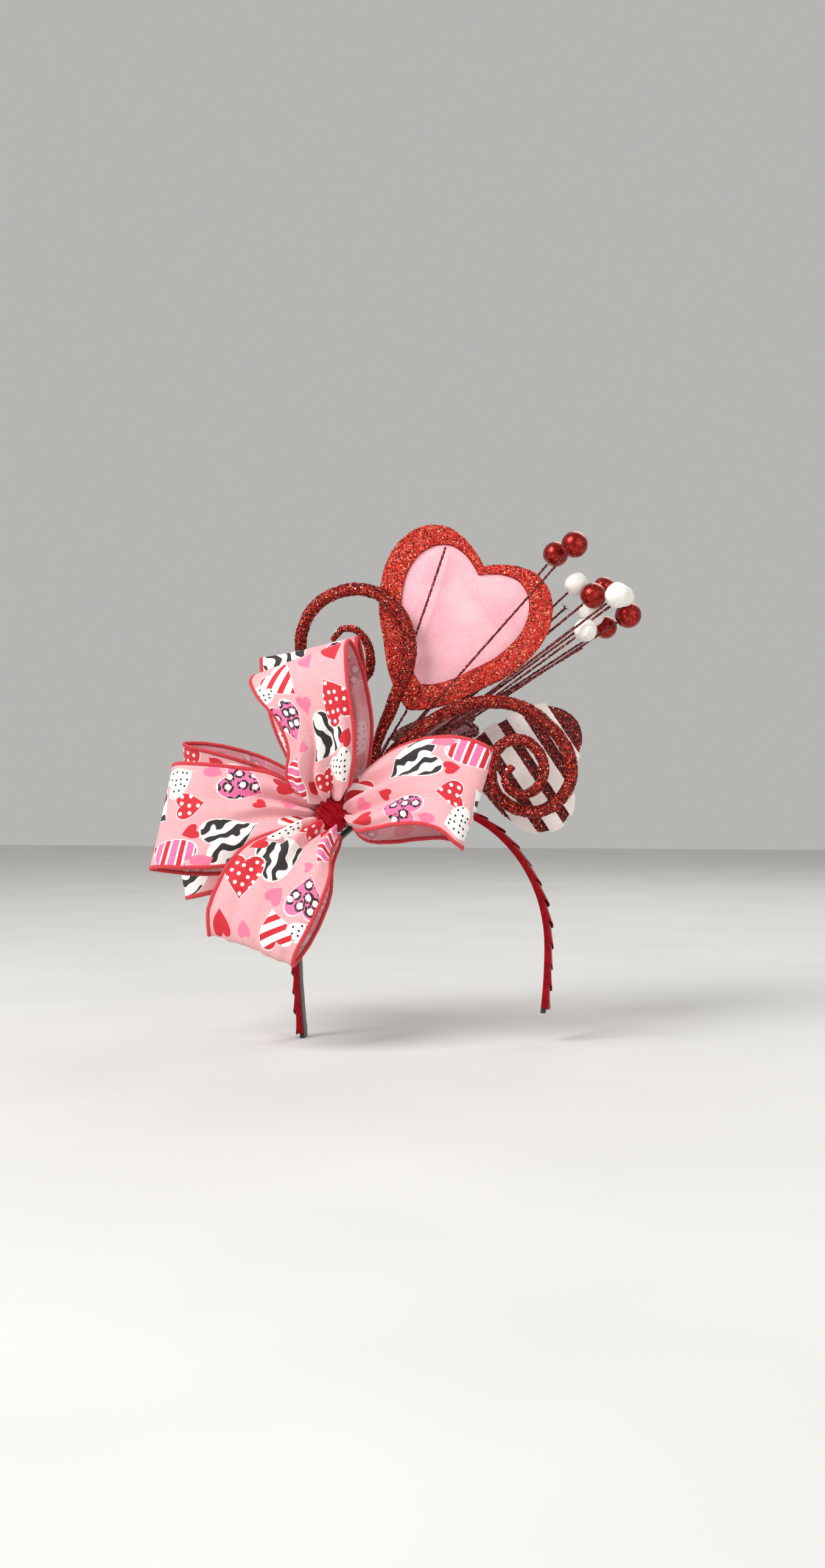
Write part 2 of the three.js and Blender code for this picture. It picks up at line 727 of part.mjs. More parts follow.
function curl(centre, rows, seatAcross, seatBack) {
  const path = rows.map(({ turn, radius, depth }) =>
    vec(
      centre.x + radius * curlRadius * Math.cos(deg(turn)),
      depth * curlRadius,
      centre.z + radius * curlRadius * Math.sin(deg(turn)),
    ),
  );
  const start = hubSeat(seatAcross, seatBack);
  const points = [start, start.clone().addScaledVector(hubAxis, curlTube * 1.25), ...path];
  const foot = [{ tube: 0.6 }, { tube: 0.62 }];
  const thick = [...foot, ...rows];
  const curve = new THREE.CatmullRomCurve3(points);
  const steps = Math.round(points.length * 1.55);
  const sides = 6;
  const frames = curve.computeFrenetFrames(steps, false);
  const rings = [];
  for (let i = 0; i <= steps; i += 1) {
    const t = curve.getUtoTmapping(i / steps);
    const middle = curve.getPoint(t);
    const radius = curlTube * between(thick, 'tube', t);
    rings.push(
      Array.from({ length: sides }, (_, k) => {
        const angle = (2 * Math.PI * k) / sides;
        return middle
          .clone()
          .addScaledVector(frames.normals[i], radius * Math.cos(angle))
          .addScaledVector(frames.binormals[i], radius * Math.sin(angle));
      }),
    );
  }
  return loft(rings);
}

spray.add(named('left_curl', curl(leftCurlCentre, leftCurlRows, -1.65, -1.9), glitter));
spray.add(named('right_curl', curl(rightCurlCentre, rightCurlRows, 1.65, -1.9), glitter));

// Berries on wire stems. Each row gives the berry's middle in shares of the spray's size, its
// radius as a share of berrySize, its stem's seat on the hub, in seats right and seats back, and
// how far back the stem bows.
const berryRed = paint(0x7d0f0e, 0.25, 0.6);
const berryWhite = paint(0xebe8e1, 0.8);
const berries = [
  {
    name: 'red_1',
    across: 0.5585,
    back: 0.07,
    up: 0.6795,
    radius: 0.975,
    seat: [-0.5, 1],
    belly: 0.06,
  },
  {
    name: 'red_2',
    across: 0.609,
    back: -0.01,
    up: 0.698,
    radius: 1.012,
    seat: [-0.5, 0],
    belly: -0.0275,
  },
  {
    name: 'white_1',
    across: 0.625,
    back: 0.09,
    up: 0.5895,
    radius: 0.912,
    seat: [0.5, 2],
    belly: 0.07,
  },
  {
    name: 'red_3',
    across: 0.6705,
    back: 0.035,
    up: 0.548,
    radius: 1,
    seat: [0.5, 1],
    belly: 0.065,
  },
  {
    name: 'red_4',
    across: 0.7165,
    back: 0.15,
    up: 0.586,
    radius: 0.85,
    seat: [-0.5, 3],
    belly: 0.09,
  },
  {
    name: 'white_2',
    across: 0.7375,
    back: -0.0275,
    up: 0.5425,
    radius: 0.975,
    seat: [1.5, 0],
    belly: -0.02,
  },
  {
    name: 'white_3',
    across: 0.768,
    back: 0.065,
    up: 0.5495,
    radius: 0.8,
    seat: [1.5, 1],
    belly: 0.035,
  },
  {
    name: 'white_4',
    across: 0.675,
    back: 0.12,
    up: 0.5005,
    radius: 1.025,
    seat: [1.5, 2],
    belly: 0.075,
  },
  {
    name: 'white_5',
    across: 0.6445,
    back: 0.0175,
    up: 0.4405,
    radius: 0.887,
    seat: [2.5, 0],
    belly: 0.0075,
  },
  {
    name: 'red_5',
    across: 0.725,
    back: 0.175,
    up: 0.464,
    radius: 0.9,
    seat: [0.5, 3],
    belly: 0.105,
  },
  {
    name: 'red_6',
    across: 0.7875,
    back: 0.11,
    up: 0.496,
    radius: 1.025,
    seat: [2.5, 2],
    belly: 0.055,
  },
];
for (const { name, across, back, up, radius: share, seat: [right, rear], belly } of berries) {
  const middle = inSpray(across, back, up);
  const radius = share * berrySize;
  const start = hubSeat(right, rear);
  const half = start.clone().lerp(middle, 0.5).setY(belly * spraySize);
  const into = middle.clone().sub(half).normalize();
  const end = middle.clone().addScaledVector(into, -radius - clear);
  const points = [start, start.clone().addScaledVector(hubAxis, straightRun), half, end];
  spray.add(named(`stem_${name}`, wire(points), stemPaint));
  const ball = new THREE.SphereGeometry(radius, 10, 6);
  ball.translate(middle.x, middle.y, middle.z);
  spray.add(named(`berry_${name}`, ball, name.startsWith('red') ? berryRed : berryWhite));
}

// Wires that end in a heart or in the air.
const heartStems = [
  { name: 'stem_big_heart', seat: [-1.5, 1], heart: bigHeart },
  { name: 'stem_small_heart', seat: [-1.5, 2], heart: smallHeart },
  { name: 'stem_striped_heart', seat: [3.2, 0.2], heart: stripedHeart },
];
for (const { name, seat: [right, rear], heart } of heartStems) {
  const start = hubSeat(right, rear);
  const tip = heart.position;
  const back = vec(0, 1, 0).applyQuaternion(heart.quaternion);
  const end = tip.clone().addScaledVector(back, -2 * clear);
  const points = [start, start.clone().addScaledVector(hubAxis, straightRun * 0.75)];
  points.push(start.clone().lerp(end, 0.6), end);
  spray.add(named(name, wire(points, wireRadius), stemPaint));
}
const bareWires = [
  {
    name: 'bare_wire_front',
    seat: [-1.5, 0],
    points: [inSpray(0.045, -0.015, 0.2), inSpray(0.126, -0.025, 0.4195), inSpray(0.218, -0.005, 0.69)],
  },
  {
    name: 'bare_wire_long',
    seat: [-0.5, 2],
    points: [inSpray(0.3, 0.04, 0.255), inSpray(0.46, 0.065, 0.4), inSpray(0.5875, 0.07, 0.5125)],
  },
  {
    name: 'bare_wire_low',
    seat: [2.5, 1],
    points: [inSpray(0.32, 0.03, 0.195), inSpray(0.639, 0.05, 0.39)],
  },
];
for (const { name, seat: [right, rear], points } of bareWires) {
  const start = hubSeat(right, rear);
  const route = [start, start.clone().addScaledVector(hubAxis, straightRun), ...points];
  spray.add(named(name, wire(route), stemPaint));
}

bow.add(named('centre_tie', centreTie(), satin));
bow.add(named('stem_hub', stemHub(), satin));
for (const loop of bowLoops) {
  bow.add(named(loop.name, ribbonLoop(loop), paint(0xf0b4b9, 0.75)));
}

const group = new THREE.Group();
group.add(named('band_core', bandCore(), paint(0x2c2826, 0.7)));
group.add(named('band_wrap_left', bandWrap(bareLeft, band.start), satin));
group.add(named('band_wrap_right', bandWrap(bareRight, band.end), satin));
group.add(decor);

export default group;
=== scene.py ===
import math

import bpy
import numpy as np
from mathutils import Matrix, Vector, noise


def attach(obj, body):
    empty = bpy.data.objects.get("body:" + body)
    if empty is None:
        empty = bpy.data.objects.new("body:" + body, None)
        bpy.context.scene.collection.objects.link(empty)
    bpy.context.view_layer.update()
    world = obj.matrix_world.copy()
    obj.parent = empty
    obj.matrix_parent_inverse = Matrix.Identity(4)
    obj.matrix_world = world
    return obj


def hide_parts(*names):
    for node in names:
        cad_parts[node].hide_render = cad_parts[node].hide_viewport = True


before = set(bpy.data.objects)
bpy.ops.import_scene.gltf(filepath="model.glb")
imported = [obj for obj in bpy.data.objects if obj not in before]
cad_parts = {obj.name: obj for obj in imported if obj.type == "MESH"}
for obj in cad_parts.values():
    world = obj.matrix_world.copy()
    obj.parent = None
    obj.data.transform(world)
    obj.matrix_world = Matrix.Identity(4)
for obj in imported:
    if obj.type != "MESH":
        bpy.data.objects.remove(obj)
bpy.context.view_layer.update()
bpy.ops.object.select_all(action="DESELECT")
mm = 0.001
print("frame loaded:", len(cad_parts), "nodes")

# The bow and spray are laid out in millimetres in a frame turned about Z, from the bow's centre
layout = {
    "turn": math.radians(9),
    "tieFront": 35,          # the tie's front pole lies this far in front of the bow's centre
    "tieRadius": 11,
    "hubTop": Vector((23.2, 6, 23.9)),
    "seatPitch": 2,
    "spraySize": 200,
    "clear": 0.3,
}
turned = Matrix.Rotation(layout["turn"], 3, "Z")


def bowCentre():
    flatten = turned.inverted()
    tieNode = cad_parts["centre_tie"]
    pole = min((flatten @ v.co for v in tieNode.data.vertices), key=lambda p: p.y)
    return pole / mm + Vector((0, layout["tieFront"], 0))


centre = bowCentre()


def fromBow(p):
    return turned @ (centre + Vector(p)) * mm


def fromSpray(p):
    return fromBow(layout["hubTop"] + Vector(p))


def inSpray(shares):
    return Vector(shares) * layout["spraySize"]


# A smooth line through points, even in its own steps and free of overshoot
def smoothPoint(points, t):
    place = t * (len(points) - 1)
    i = min(int(place), len(points) - 2)
    f = place - i
    b, c = points[i], points[i + 1]
    a = points[i - 1] if i > 0 else b * 2 - c
    d = points[i + 2] if i + 2 < len(points) else c * 2 - b
    da, db, dc = ((q - p).length ** 0.5 for p, q in ((a, b), (b, c), (c, d)))
    m = ((b - a) / da - (c - a) / (da + db) + (c - b) / db) * db
    n = ((c - b) / db - (d - b) / (db + dc) + (d - c) / dc) * db
    return b + m * f + (c * 3 - b * 3 - m * 2 - n) * f ** 2 + (b * 2 - c * 2 + m + n) * f ** 3


def smoothLine(points, steps):
    return [smoothPoint(points, i / steps) for i in range(steps + 1)]


def between(values, t):
    place = t * (len(values) - 1)
    i = min(int(place), len(values) - 2)
    f = place - i
    a, b, c, d = (values[min(max(k, 0), len(values) - 1)] for k in (i - 1, i, i + 1, i + 2))
    return b + 0.5 * f * (c - a + f * (2 * a - 5 * b + 4 * c - d + f * (3 * (b - c) + d - a)))


# Rows of numbers at even steps of length, which their first three columns measure
def evenly(rows, count=None, pitch=None):
    rows = np.array(rows, dtype=float)
    run = np.concatenate([[0], np.cumsum(np.linalg.norm(np.diff(rows[:, :3], axis=0), axis=1))])
    count = count or max(2, round(run[-1] / pitch) + 1)
    at = np.linspace(0, run[-1], count)
    return np.stack([np.interp(at, run, rows[:, k]) for k in range(rows.shape[1])], axis=1)


# A soft uneven value between about -1 and 1
def uneven(x, y, seed):
    return noise.noise(Vector((x, y, seed * 7.3))) * 1.6


def finishPiece(obj, nodes=(), smooth=True):
    if smooth:
        obj.data.polygons.foreach_set("use_smooth", [True] * len(obj.data.polygons))
    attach(obj, "root")
    if nodes:
        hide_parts(*nodes)
    return obj


# The enclosed volume, which is negative where the faces point inwards
def enclosed(points, faces):
    corners = np.array([f[:3] for f in faces] + [(f[0], f[2], f[3]) for f in faces if len(f) > 3])
    a, b, c = (points[corners[:, k]] for k in range(3))
    return float(np.einsum("ij,ij->i", a, np.cross(b, c)).sum())


def meshPiece(name, points, faces, materials, kinds=None, uvs=None):
    points = np.array([tuple(p) for p in points]) if not isinstance(points, np.ndarray) else points
    if enclosed(points, faces) < 0:
        faces = [tuple(reversed(f)) for f in faces]
    mesh = bpy.data.meshes.new(name)
    mesh.from_pydata(points.tolist(), [], faces)
    for material in materials:
        mesh.materials.append(material)
    if kinds is not None:
        mesh.polygons.foreach_set("material_index", kinds)
    if uvs is not None:
        layer = mesh.uv_layers.new(name="cloth")
        corner = np.zeros(len(mesh.loops), dtype=np.int32)
        mesh.loops.foreach_get("vertex_index", corner)
        layer.data.foreach_set("uv", np.array(uvs, dtype=np.float32)[corner].ravel())
    mesh.update()
    obj = bpy.data.objects.new(name, mesh)
    bpy.context.scene.collection.objects.link(obj)
    return obj


# A closed tube through rings of points, its ends closed by a fan
def tubeMesh(rings):
    count = len(rings[0])
    points = [tuple(p) for ring in rings for p in ring]
    faces = []
    for i in range(len(rings) - 1):
        for j in range(count):
            a, b = i * count + j, i * count + (j + 1) % count
            faces.append((a, b, b + count, a + count))
    for first, ring, flip in ((0, rings[0], True), ((len(rings) - 1) * count, rings[-1], False)):
        points.append(tuple(sum((Vector(p) for p in ring), Vector()) / count))
        for j in range(count):
            a, b = first + j, first + (j + 1) % count
            faces.append((b, a, len(points) - 1) if flip else (a, b, len(points) - 1))
    return points, faces


# Rings of a tube along a line, each turned the least from the last
def ringsAlong(line, radiusAt, sides):
    rings = []
    normal = None
    for i, p in enumerate(line):
        tangent = (line[min(i + 1, len(line) - 1)] - line[max(i - 1, 0)]).normalized()
        if normal is None:
            normal = tangent.orthogonal().normalized()
        normal = (normal - tangent * normal.dot(tangent)).normalized()
        across = tangent.cross(normal)
        ring = []
        for k in range(sides):
            angle = 2 * math.pi * k / sides
            radius = radiusAt(i / (len(line) - 1), angle)
            ring.append(p + (normal * math.cos(angle) + across * math.sin(angle)) * radius)
        rings.append(ring)
    return rings


# A thin closed sheet from a grid of points and the grid of its normals
def sheetMesh(grid, normals, thickness):
    rows, columns = grid.shape[:2]
    outer, inner = grid + normals * thickness / 2, grid - normals * thickness / 2
    size = rows * columns
    faces, kinds = [], []
    for i in range(rows - 1):
        for j in range(columns - 1):
            a = i * columns + j
            faces.append((a, a + columns, a + columns + 1, a + 1))
            faces.append((size + a, size + a + 1, size + a + columns + 1, size + a + columns))
            kinds += [0, 1]
    for i in range(rows - 1):
        a, b = i * columns, i * columns + columns - 1
        faces.append((a, size + a, size + a + columns, a + columns))
        faces.append((b, b + columns, size + b + columns, size + b))
        kinds += [1, 1]
    for j in range(columns - 1):
        a, b = j, (rows - 1) * columns + j
        faces.append((a, a + 1, size + a + 1, size + a))
        faces.append((b, size + b, size + b + 1, b + 1))
        kinds += [1, 1]
    return np.concatenate([outer.reshape(-1, 3), inner.reshape(-1, 3)]), faces, kinds


def gridNormals(grid):
    along = np.gradient(grid, axis=0)
    across = np.gradient(grid, axis=1)
    normals = np.cross(across, along)
    return normals / np.maximum(np.linalg.norm(normals, axis=2, keepdims=True), 1e-12)


# Shader helpers
def tone(red, green, blue):
    def linear(c):
        c = c / 255
        return c / 12.92 if c <= 0.04045 else ((c + 0.055) / 1.055) ** 2.4
    return (linear(red), linear(green), linear(blue), 1)


def feed(tree, socket, value):
    if isinstance(value, bpy.types.NodeSocket):
        tree.links.new(value, socket)
    else:
        socket.default_value = value


def node(tree, kind, inputs=None, **settings):
    made = tree.nodes.new("ShaderNode" + kind)
    for key, value in settings.items():
        setattr(made, key, value)
    for key, value in (inputs or {}).items():
        feed(tree, made.inputs[key], value)
    return made


def calc(tree, operation, *values, clamp=False):
    made = node(tree, "Math", operation=operation, use_clamp=clamp)
    for socket, value in zip(made.inputs, values):
        feed(tree, socket, value)
    return made.outputs[0]


def mix(tree, factor, first, second, blend="MIX"):
    made = node(tree, "Mix", data_type="RGBA", blend_type=blend)
    for index, value in ((0, factor), (6, first), (7, second)):
        feed(tree, made.inputs[index], value)
    return made.outputs[2]


def ramp(tree, value, stops, kind="LINEAR"):
    made = node(tree, "ValToRGB", {"Fac": value})
    made.color_ramp.interpolation = kind
    while len(made.color_ramp.elements) < len(stops):
        made.color_ramp.elements.new(1)
    for element, (position, color) in zip(made.color_ramp.elements, stops):
        element.position = position
        element.color = color
    return made.outputs["Color"]


def newGroup(name, inputs, outputs):
    group = bpy.data.node_groups.new(name, "ShaderNodeTree")
    for side, rows in (("INPUT", inputs), ("OUTPUT", outputs)):
        for label, socket in rows:
            group.interface.new_socket(label, in_out=side, socket_type="NodeSocket" + socket)
    return group, group.nodes.new("NodeGroupInput").outputs, group.nodes.new("NodeGroupOutput").inputs


def placed(tree, group, inputs):
    made = tree.nodes.new("ShaderNodeGroup")
    made.node_tree = group
    for key, value in inputs.items():
        feed(tree, made.inputs[key], value)
    return made.outputs


def newMaterial(name, roughness, metallic=0.0, **sockets):
    material = bpy.data.materials.new(name)
    material.use_nodes = True
    tree = material.node_tree
    shader = tree.nodes["Principled BSDF"].inputs
    shader["Roughness"].default_value = roughness
    shader["Metallic"].default_value = metallic
    for key, value in sockets.items():
        shader[key.replace("_", " ")].default_value = value
    return material, tree, shader


def objectPoint(tree):
    return node(tree, "TexCoord").outputs["Object"]


def clothPoint(tree):
    return node(tree, "UVMap", uv_map="cloth").outputs["UV"]


def bump(tree, height, strength, distance):
    return node(tree, "Bump", {"Height": height, "Strength": strength, "Distance": distance}).outputs["Normal"]


def speckle(tree, point, scale, detail=2.0, roughness=0.5):
    made = node(tree, "TexNoise", {"Vector": point, "Scale": scale, "Detail": detail, "Roughness": roughness})
    return made.outputs["Fac"]


# Plain weave: raised threads both ways, and the slubs that make some of them thicker
def weaveGroup():
    group, given, result = newGroup(
        "plainWeave", [("Vector", "Vector"), ("Threads", "Float")], [("Height", "Float"), ("Slub", "Float")],
    )
    split = node(group, "SeparateXYZ", {"Vector": given["Vector"]}).outputs
    ridges, slubs = [], []
    for along, over in ((0, 1), (1, 0)):
        phase = calc(group, "MULTIPLY", calc(group, "MULTIPLY", split[along], given["Threads"]), math.pi)
        ridges.append(calc(group, "ABSOLUTE", calc(group, "SINE", phase)))
        fine = calc(group, "MULTIPLY", split[along], calc(group, "MULTIPLY", given["Threads"], 0.6))
        slow = calc(group, "MULTIPLY", split[over], calc(group, "MULTIPLY", given["Threads"], 0.035))
        streak = node(group, "CombineXYZ", {"X": fine, "Y": slow, "Z": along * 7.0})
        slubs.append(speckle(group, streak.outputs[0], 1.0))
    feed(group, result["Height"], calc(group, "MULTIPLY", *ridges))
    feed(group, result["Slub"], calc(group, "MULTIPLY", calc(group, "ADD", *slubs), 0.5))
    return group


# Loose grains of glitter: a random value for each grain, and a normal tipped its own way
def grainGroup():
    inputs = [("Vector", "Vector"), ("Surface", "Vector"), ("Scale", "Float"), ("Tilt", "Float")]
    group, given, result = newGroup("glitterGrain", inputs, [("Spark", "Float"), ("Normal", "Vector")])
    cells = node(group, "TexVoronoi", {"Vector": given["Vector"], "Scale": given["Scale"]}).outputs["Color"]
    away = node(group, "VectorMath", {0: cells, 1: (0.5, 0.5, 0.5)}, operation="SUBTRACT").outputs[0]
    tipped = node(group, "VectorMath", {0: away, "Scale": given["Tilt"]}, operation="SCALE").outputs[0]
    total = node(group, "VectorMath", {0: tipped, 1: given["Surface"]}, operation="ADD").outputs[0]
    feed(group, result["Spark"], node(group, "SeparateColor", {"Color": cells}).outputs[0])
    feed(group, result["Normal"], node(group, "VectorMath", {0: total}, operation="NORMALIZE").outputs[0])
    return group


# One printed heart: a mask at its own place, size and turn, repeated along the ribbon
def heartGroup():
    names = ["Across", "Along", "Middle", "Place", "Size", "Cosine", "Sine", "Repeat"]
    group, given, result = newGroup("printedHeart", [(n, "Float") for n in names], [("Mask", "Float")])

    def times(a, b):
        return calc(group, "MULTIPLY", a, b)

    half = times(given["Repeat"], 0.5)
    du = calc(group, "SUBTRACT", given["Across"], given["Middle"])
    dv = calc(group, "WRAP", calc(group, "SUBTRACT", given["Along"], given["Place"]), half, times(half, -1.0))
    right = calc(group, "ADD", times(du, given["Cosine"]), times(dv, given["Sine"]))
    up = calc(group, "SUBTRACT", times(dv, given["Cosine"]), times(du, given["Sine"]))
    x = calc(group, "ABSOLUTE", calc(group, "DIVIDE", right, given["Size"]))
    y = calc(group, "DIVIDE", up, given["Size"])
    tall = calc(group, "SUBTRACT", times(y, 1.08), times(calc(group, "POWER", x, 0.62), 0.82))
    inside = calc(group, "ADD", times(x, x), times(tall, tall))
    feed(group, result["Mask"], calc(group, "ADD", times(calc(group, "SUBTRACT", 1.0, inside), 14.0), 0.5, clamp=True))
    return group


# The ribbon's printed hearts, in ribbon widths. Each row: middle across, place along, half width,
# turn in degrees and fill
ribbonPrint = {
    "repeat": 2.08,
    "hearts": [
        (0.29, 0.25, 0.225, 18, "waves"), (0.79, 0.16, 0.19, -28, "rings"), (0.60, 0.66, 0.125, 12, "redDots"),
        (0.93, 0.46, 0.085, -25, "pink"), (0.33, 0.68, 0.07, 200, "red"), (0.13, 0.86, 0.185, 158, "stripes"),
        (0.85, 0.80, 0.145, 32, "whiteDots"), (0.56, 1.06, 0.21, -38, "waves"), (0.90, 1.12, 0.075, 148, "red"),
        (0.17, 1.30, 0.18, 12, "rings"), (0.43, 1.43, 0.085, -14, "pink"), (0.80, 1.48, 0.19, -160, "redDots"),
        (0.32, 1.70, 0.165, 34, "candy"), (0.60, 1.83, 0.07, 22, "pink"), (0.06, 1.62, 0.095, -32, "whiteDots"),
        (0.56, 0.02, 0.06, -40, "red"), (0.06, 0.52, 0.09, 26, "pink"), (0.86, 1.86, 0.10, 18, "red"),
        (0.25, 1.07, 0.05, -60, "pink"),
    ],
    "cloth": tone(238, 173, 178),
    "red": tone(212, 28, 46),
    "pink": tone(246, 124, 158),
    "hotPink": tone(240, 116, 168),
    "white": tone(250, 246, 242),
    "black": tone(38, 34, 34),
}


def printGroup(heart):
    inks = ribbonPrint
    group, given, result = newGroup("heartPrint", [("Vector", "Vector")], [("Color", "Color")])
    split = node(group, "SeparateXYZ", {"Vector": given["Vector"]}).outputs

    def spots(scale, randomness):
        wide = {"Vector": given["Vector"], "Scale": scale, "Randomness": randomness}
        return node(group, "TexVoronoi", wide, voronoi_dimensions="2D").outputs["Distance"]

    def below(value, limit, sharp=40.0):
        over = calc(group, "MULTIPLY", calc(group, "SUBTRACT", limit, value), sharp)
        return calc(group, "ADD", over, 0.5, clamp=True)

    def slanted(across, along, bent=None):
        total = calc(group, "ADD", calc(group, "MULTIPLY", split[0], across), calc(group, "MULTIPLY", split[1], along))
        return total if bent is None else calc(group, "ADD", total, calc(group, "MULTIPLY", bend, bent))

    bend = speckle(group, given["Vector"], 5.0, 1.0)
    ragged = speckle(group, given["Vector"], 30.0, 1.0)
    wave = calc(group, "SINE", calc(group, "MULTIPLY", slanted(6.6, 2.8, 1.9), 2 * math.pi))
    marks = calc(group, "ADD", spots(8.0, 0.55), calc(group, "MULTIPLY", ragged, 0.16))
    broken = below(calc(group, "SINE", calc(group, "MULTIPLY", bend, 60.0)), 0.75, 6.0)
    ringed = mix(group, calc(group, "MULTIPLY", below(marks, 0.52), broken), inks["hotPink"], inks["black"])
    band = calc(group, "FRACT", slanted(0.9, 7.5))
    candy = calc(group, "FRACT", slanted(-6.0, 6.0))
    fills = {
        "red": inks["red"],
        "pink": inks["pink"],
        "waves": mix(group, below(wave, -0.05, 5.0), inks["white"], inks["black"]),
        "rings": mix(group, below(marks, 0.32), ringed, inks["white"]),
        "redDots": mix(group, below(spots(12.0, 0.3), 0.22), inks["red"], inks["white"]),
        "whiteDots": mix(group, below(spots(17.0, 0.45), 0.19), inks["white"], inks["black"]),
        "stripes": ramp(group, band, [
            (0.0, inks["red"]), (0.3, inks["white"]), (0.42, inks["hotPink"]), (0.85, inks["white"]),
        ], "CONSTANT"),
        "candy": ramp(group, candy, [(0.0, inks["red"]), (0.46, inks["white"])], "CONSTANT"),
    }
    color = inks["cloth"]
    for middle, place, size, turn, fill in inks["hearts"]:
        turn = math.radians(turn)
        inputs = {"Across": split[0], "Along": split[1], "Middle": middle, "Place": place, "Size": size,
                  "Cosine": math.cos(turn), "Sine": math.sin(turn), "Repeat": inks["repeat"]}
        if fill not in ("red", "pink"):
            border = placed(group, heart, {**inputs, "Size": size * 1.05})["Mask"]
            color = mix(group, border, color, inks["white"])
        color = mix(group, placed(group, heart, inputs)["Mask"], color, fills[fill])
    feed(group, result["Color"], color)
    return group


weave = weaveGroup()
grain = grainGroup()
heartPrint = printGroup(heartGroup())


# Printed ribbon, its wrong side, and the thread of its hems
def ribbonMaterial(name, face):
    material, tree, shader = newMaterial(name, 0.75, Sheen_Weight=0.15, Sheen_Roughness=0.5)
    point = clothPoint(tree)
    cloth = placed(tree, weave, {"Vector": point, "Threads": 120.0})
    color = placed(tree, heartPrint, {"Vector": point})["Color"]
    if not face:
        color = mix(tree, 0.68, color, tone(226, 158, 165))
    shade = node(tree, "MapRange", {"Value": cloth["Slub"], "From Min": 0.3, "From Max": 0.7,
                                    "To Min": 0.84, "To Max": 1.03}).outputs[0]
    gray = node(tree, "CombineColor", {0: shade, 1: shade, 2: shade}).outputs[0]
    feed(tree, shader["Base Color"], mix(tree, 1.0, color, gray, "MULTIPLY"))
    feed(tree, shader["Normal"], bump(tree, cloth["Height"], 0.15, 0.3 * mm))
    return material


def hemMaterial():
    material, tree, shader = newMaterial("hemThread", 0.6, Sheen_Weight=0.2)
    split = node(tree, "SeparateXYZ", {"Vector": clothPoint(tree)}).outputs
    lean = calc(tree, "ADD", split[0], calc(tree, "MULTIPLY", split[1], 0.6))
    thread = calc(tree, "ABSOLUTE", calc(tree, "SINE", calc(tree, "MULTIPLY", lean, math.pi * 3)))
    speck = speckle(tree, objectPoint(tree), 900.0)
    # The stitch ridges are painted lighter and the grooves between stitches painted darker (painted highlight and
    # painted shade), over random speckle
    shade = calc(tree, "ADD", calc(tree, "MULTIPLY", thread, 0.55), calc(tree, "MULTIPLY", speck, 0.45))
    stops = [(0.15, tone(140, 12, 26)), (0.5, tone(214, 26, 44)), (0.9, tone(236, 72, 80))]
    feed(tree, shader["Base Color"], ramp(tree, shade, stops))
    feed(tree, shader["Normal"], bump(tree, thread, 0.6, 0.25 * mm))
    return material


def satinMaterial(name, dark, light, ribs):
    material, tree, shader = newMaterial(name, 0.27, Specular_IOR_Level=0.7, Sheen_Weight=0.06)
    shader["Sheen Tint"].default_value = tone(255, 120, 120)
    shader["Specular Tint"].default_value = tone(255, 110, 110)
    point = clothPoint(tree)
    split = node(tree, "SeparateXYZ", {"Vector": point}).outputs
    rib = calc(tree, "SINE", calc(tree, "MULTIPLY", split[1], ribs * 2 * math.pi))
    cloud = speckle(tree, point, 3.0, 3.0)
    feed(tree, shader["Base Color"], ramp(tree, cloud, [(0.3, dark), (0.7, light)]))
    height = calc(tree, "ADD", calc(tree, "MULTIPLY", rib, 0.2), cloud)
    feed(tree, shader["Normal"], bump(tree, height, 0.3, 0.3 * mm))
    return material


# Glitter coats: the glue between the grains, and the coarse chips that stand out of it
# Each grain takes a random stop over the glitter's own red: the darker stops are painted shade of single flakes and
# the palest, near-white stops are painted glints
glitterTones = {
    "bright": [(0.0, (112, 14, 8)), (0.2, (176, 34, 18)), (0.5, (230, 48, 34)), (0.8, (250, 94, 68)), (0.96, (255, 200, 160))],
    "deep": [(0.0, (58, 4, 6)), (0.3, (122, 14, 12)), (0.6, (182, 32, 20)), (0.84, (232, 76, 46)), (0.965, (255, 190, 155))],
    "dark": [(0.0, (42, 5, 6)), (0.35, (96, 14, 12)), (0.7, (146, 28, 22)), (0.9, (204, 72, 56)), (0.98, (250, 200, 180))],
    "wire": [(0.0, (60, 12, 16)), (0.45, (120, 26, 32)), (0.8, (166, 60, 60)), (0.95, (222, 150, 146))],
    "berry": [(0.0, (120, 10, 8)), (0.5, (168, 22, 14)), (0.85, (206, 46, 28)), (0.97, (244, 120, 84))],
}


def glitterRamp(tree, value, kind):
    return ramp(tree, value, [(position, tone(*color)) for position, color in glitterTones[kind]], "CONSTANT")


def grainyMaterial(name, kind, roughness, metallic, scale, tilt, **sockets):
    material, tree, shader = newMaterial(name, roughness, metallic, **sockets)
    surface = node(tree, "NewGeometry").outputs["Normal"]
    grains = placed(tree, grain, {"Vector": objectPoint(tree), "Surface": surface, "Scale": scale, "Tilt": tilt})
    feed(tree, shader["Base Color"], glitterRamp(tree, grains["Spark"], kind))
    feed(tree, shader["Normal"], grains["Normal"])
    return material


def chipMaterial(name, kind):
    material, tree, shader = newMaterial(name, 0.25, 0.55)
    split = node(tree, "SeparateXYZ", {"Vector": clothPoint(tree)}).outputs
    # Each chip takes one stop from the same tones: painted shade and painted glints, chip by chip
    feed(tree, shader["Base Color"], glitterRamp(tree, split[0], kind))
    feed(tree, shader["Roughness"], calc(tree, "ADD", calc(tree, "MULTIPLY", split[1], 0.3), 0.12))
    return material
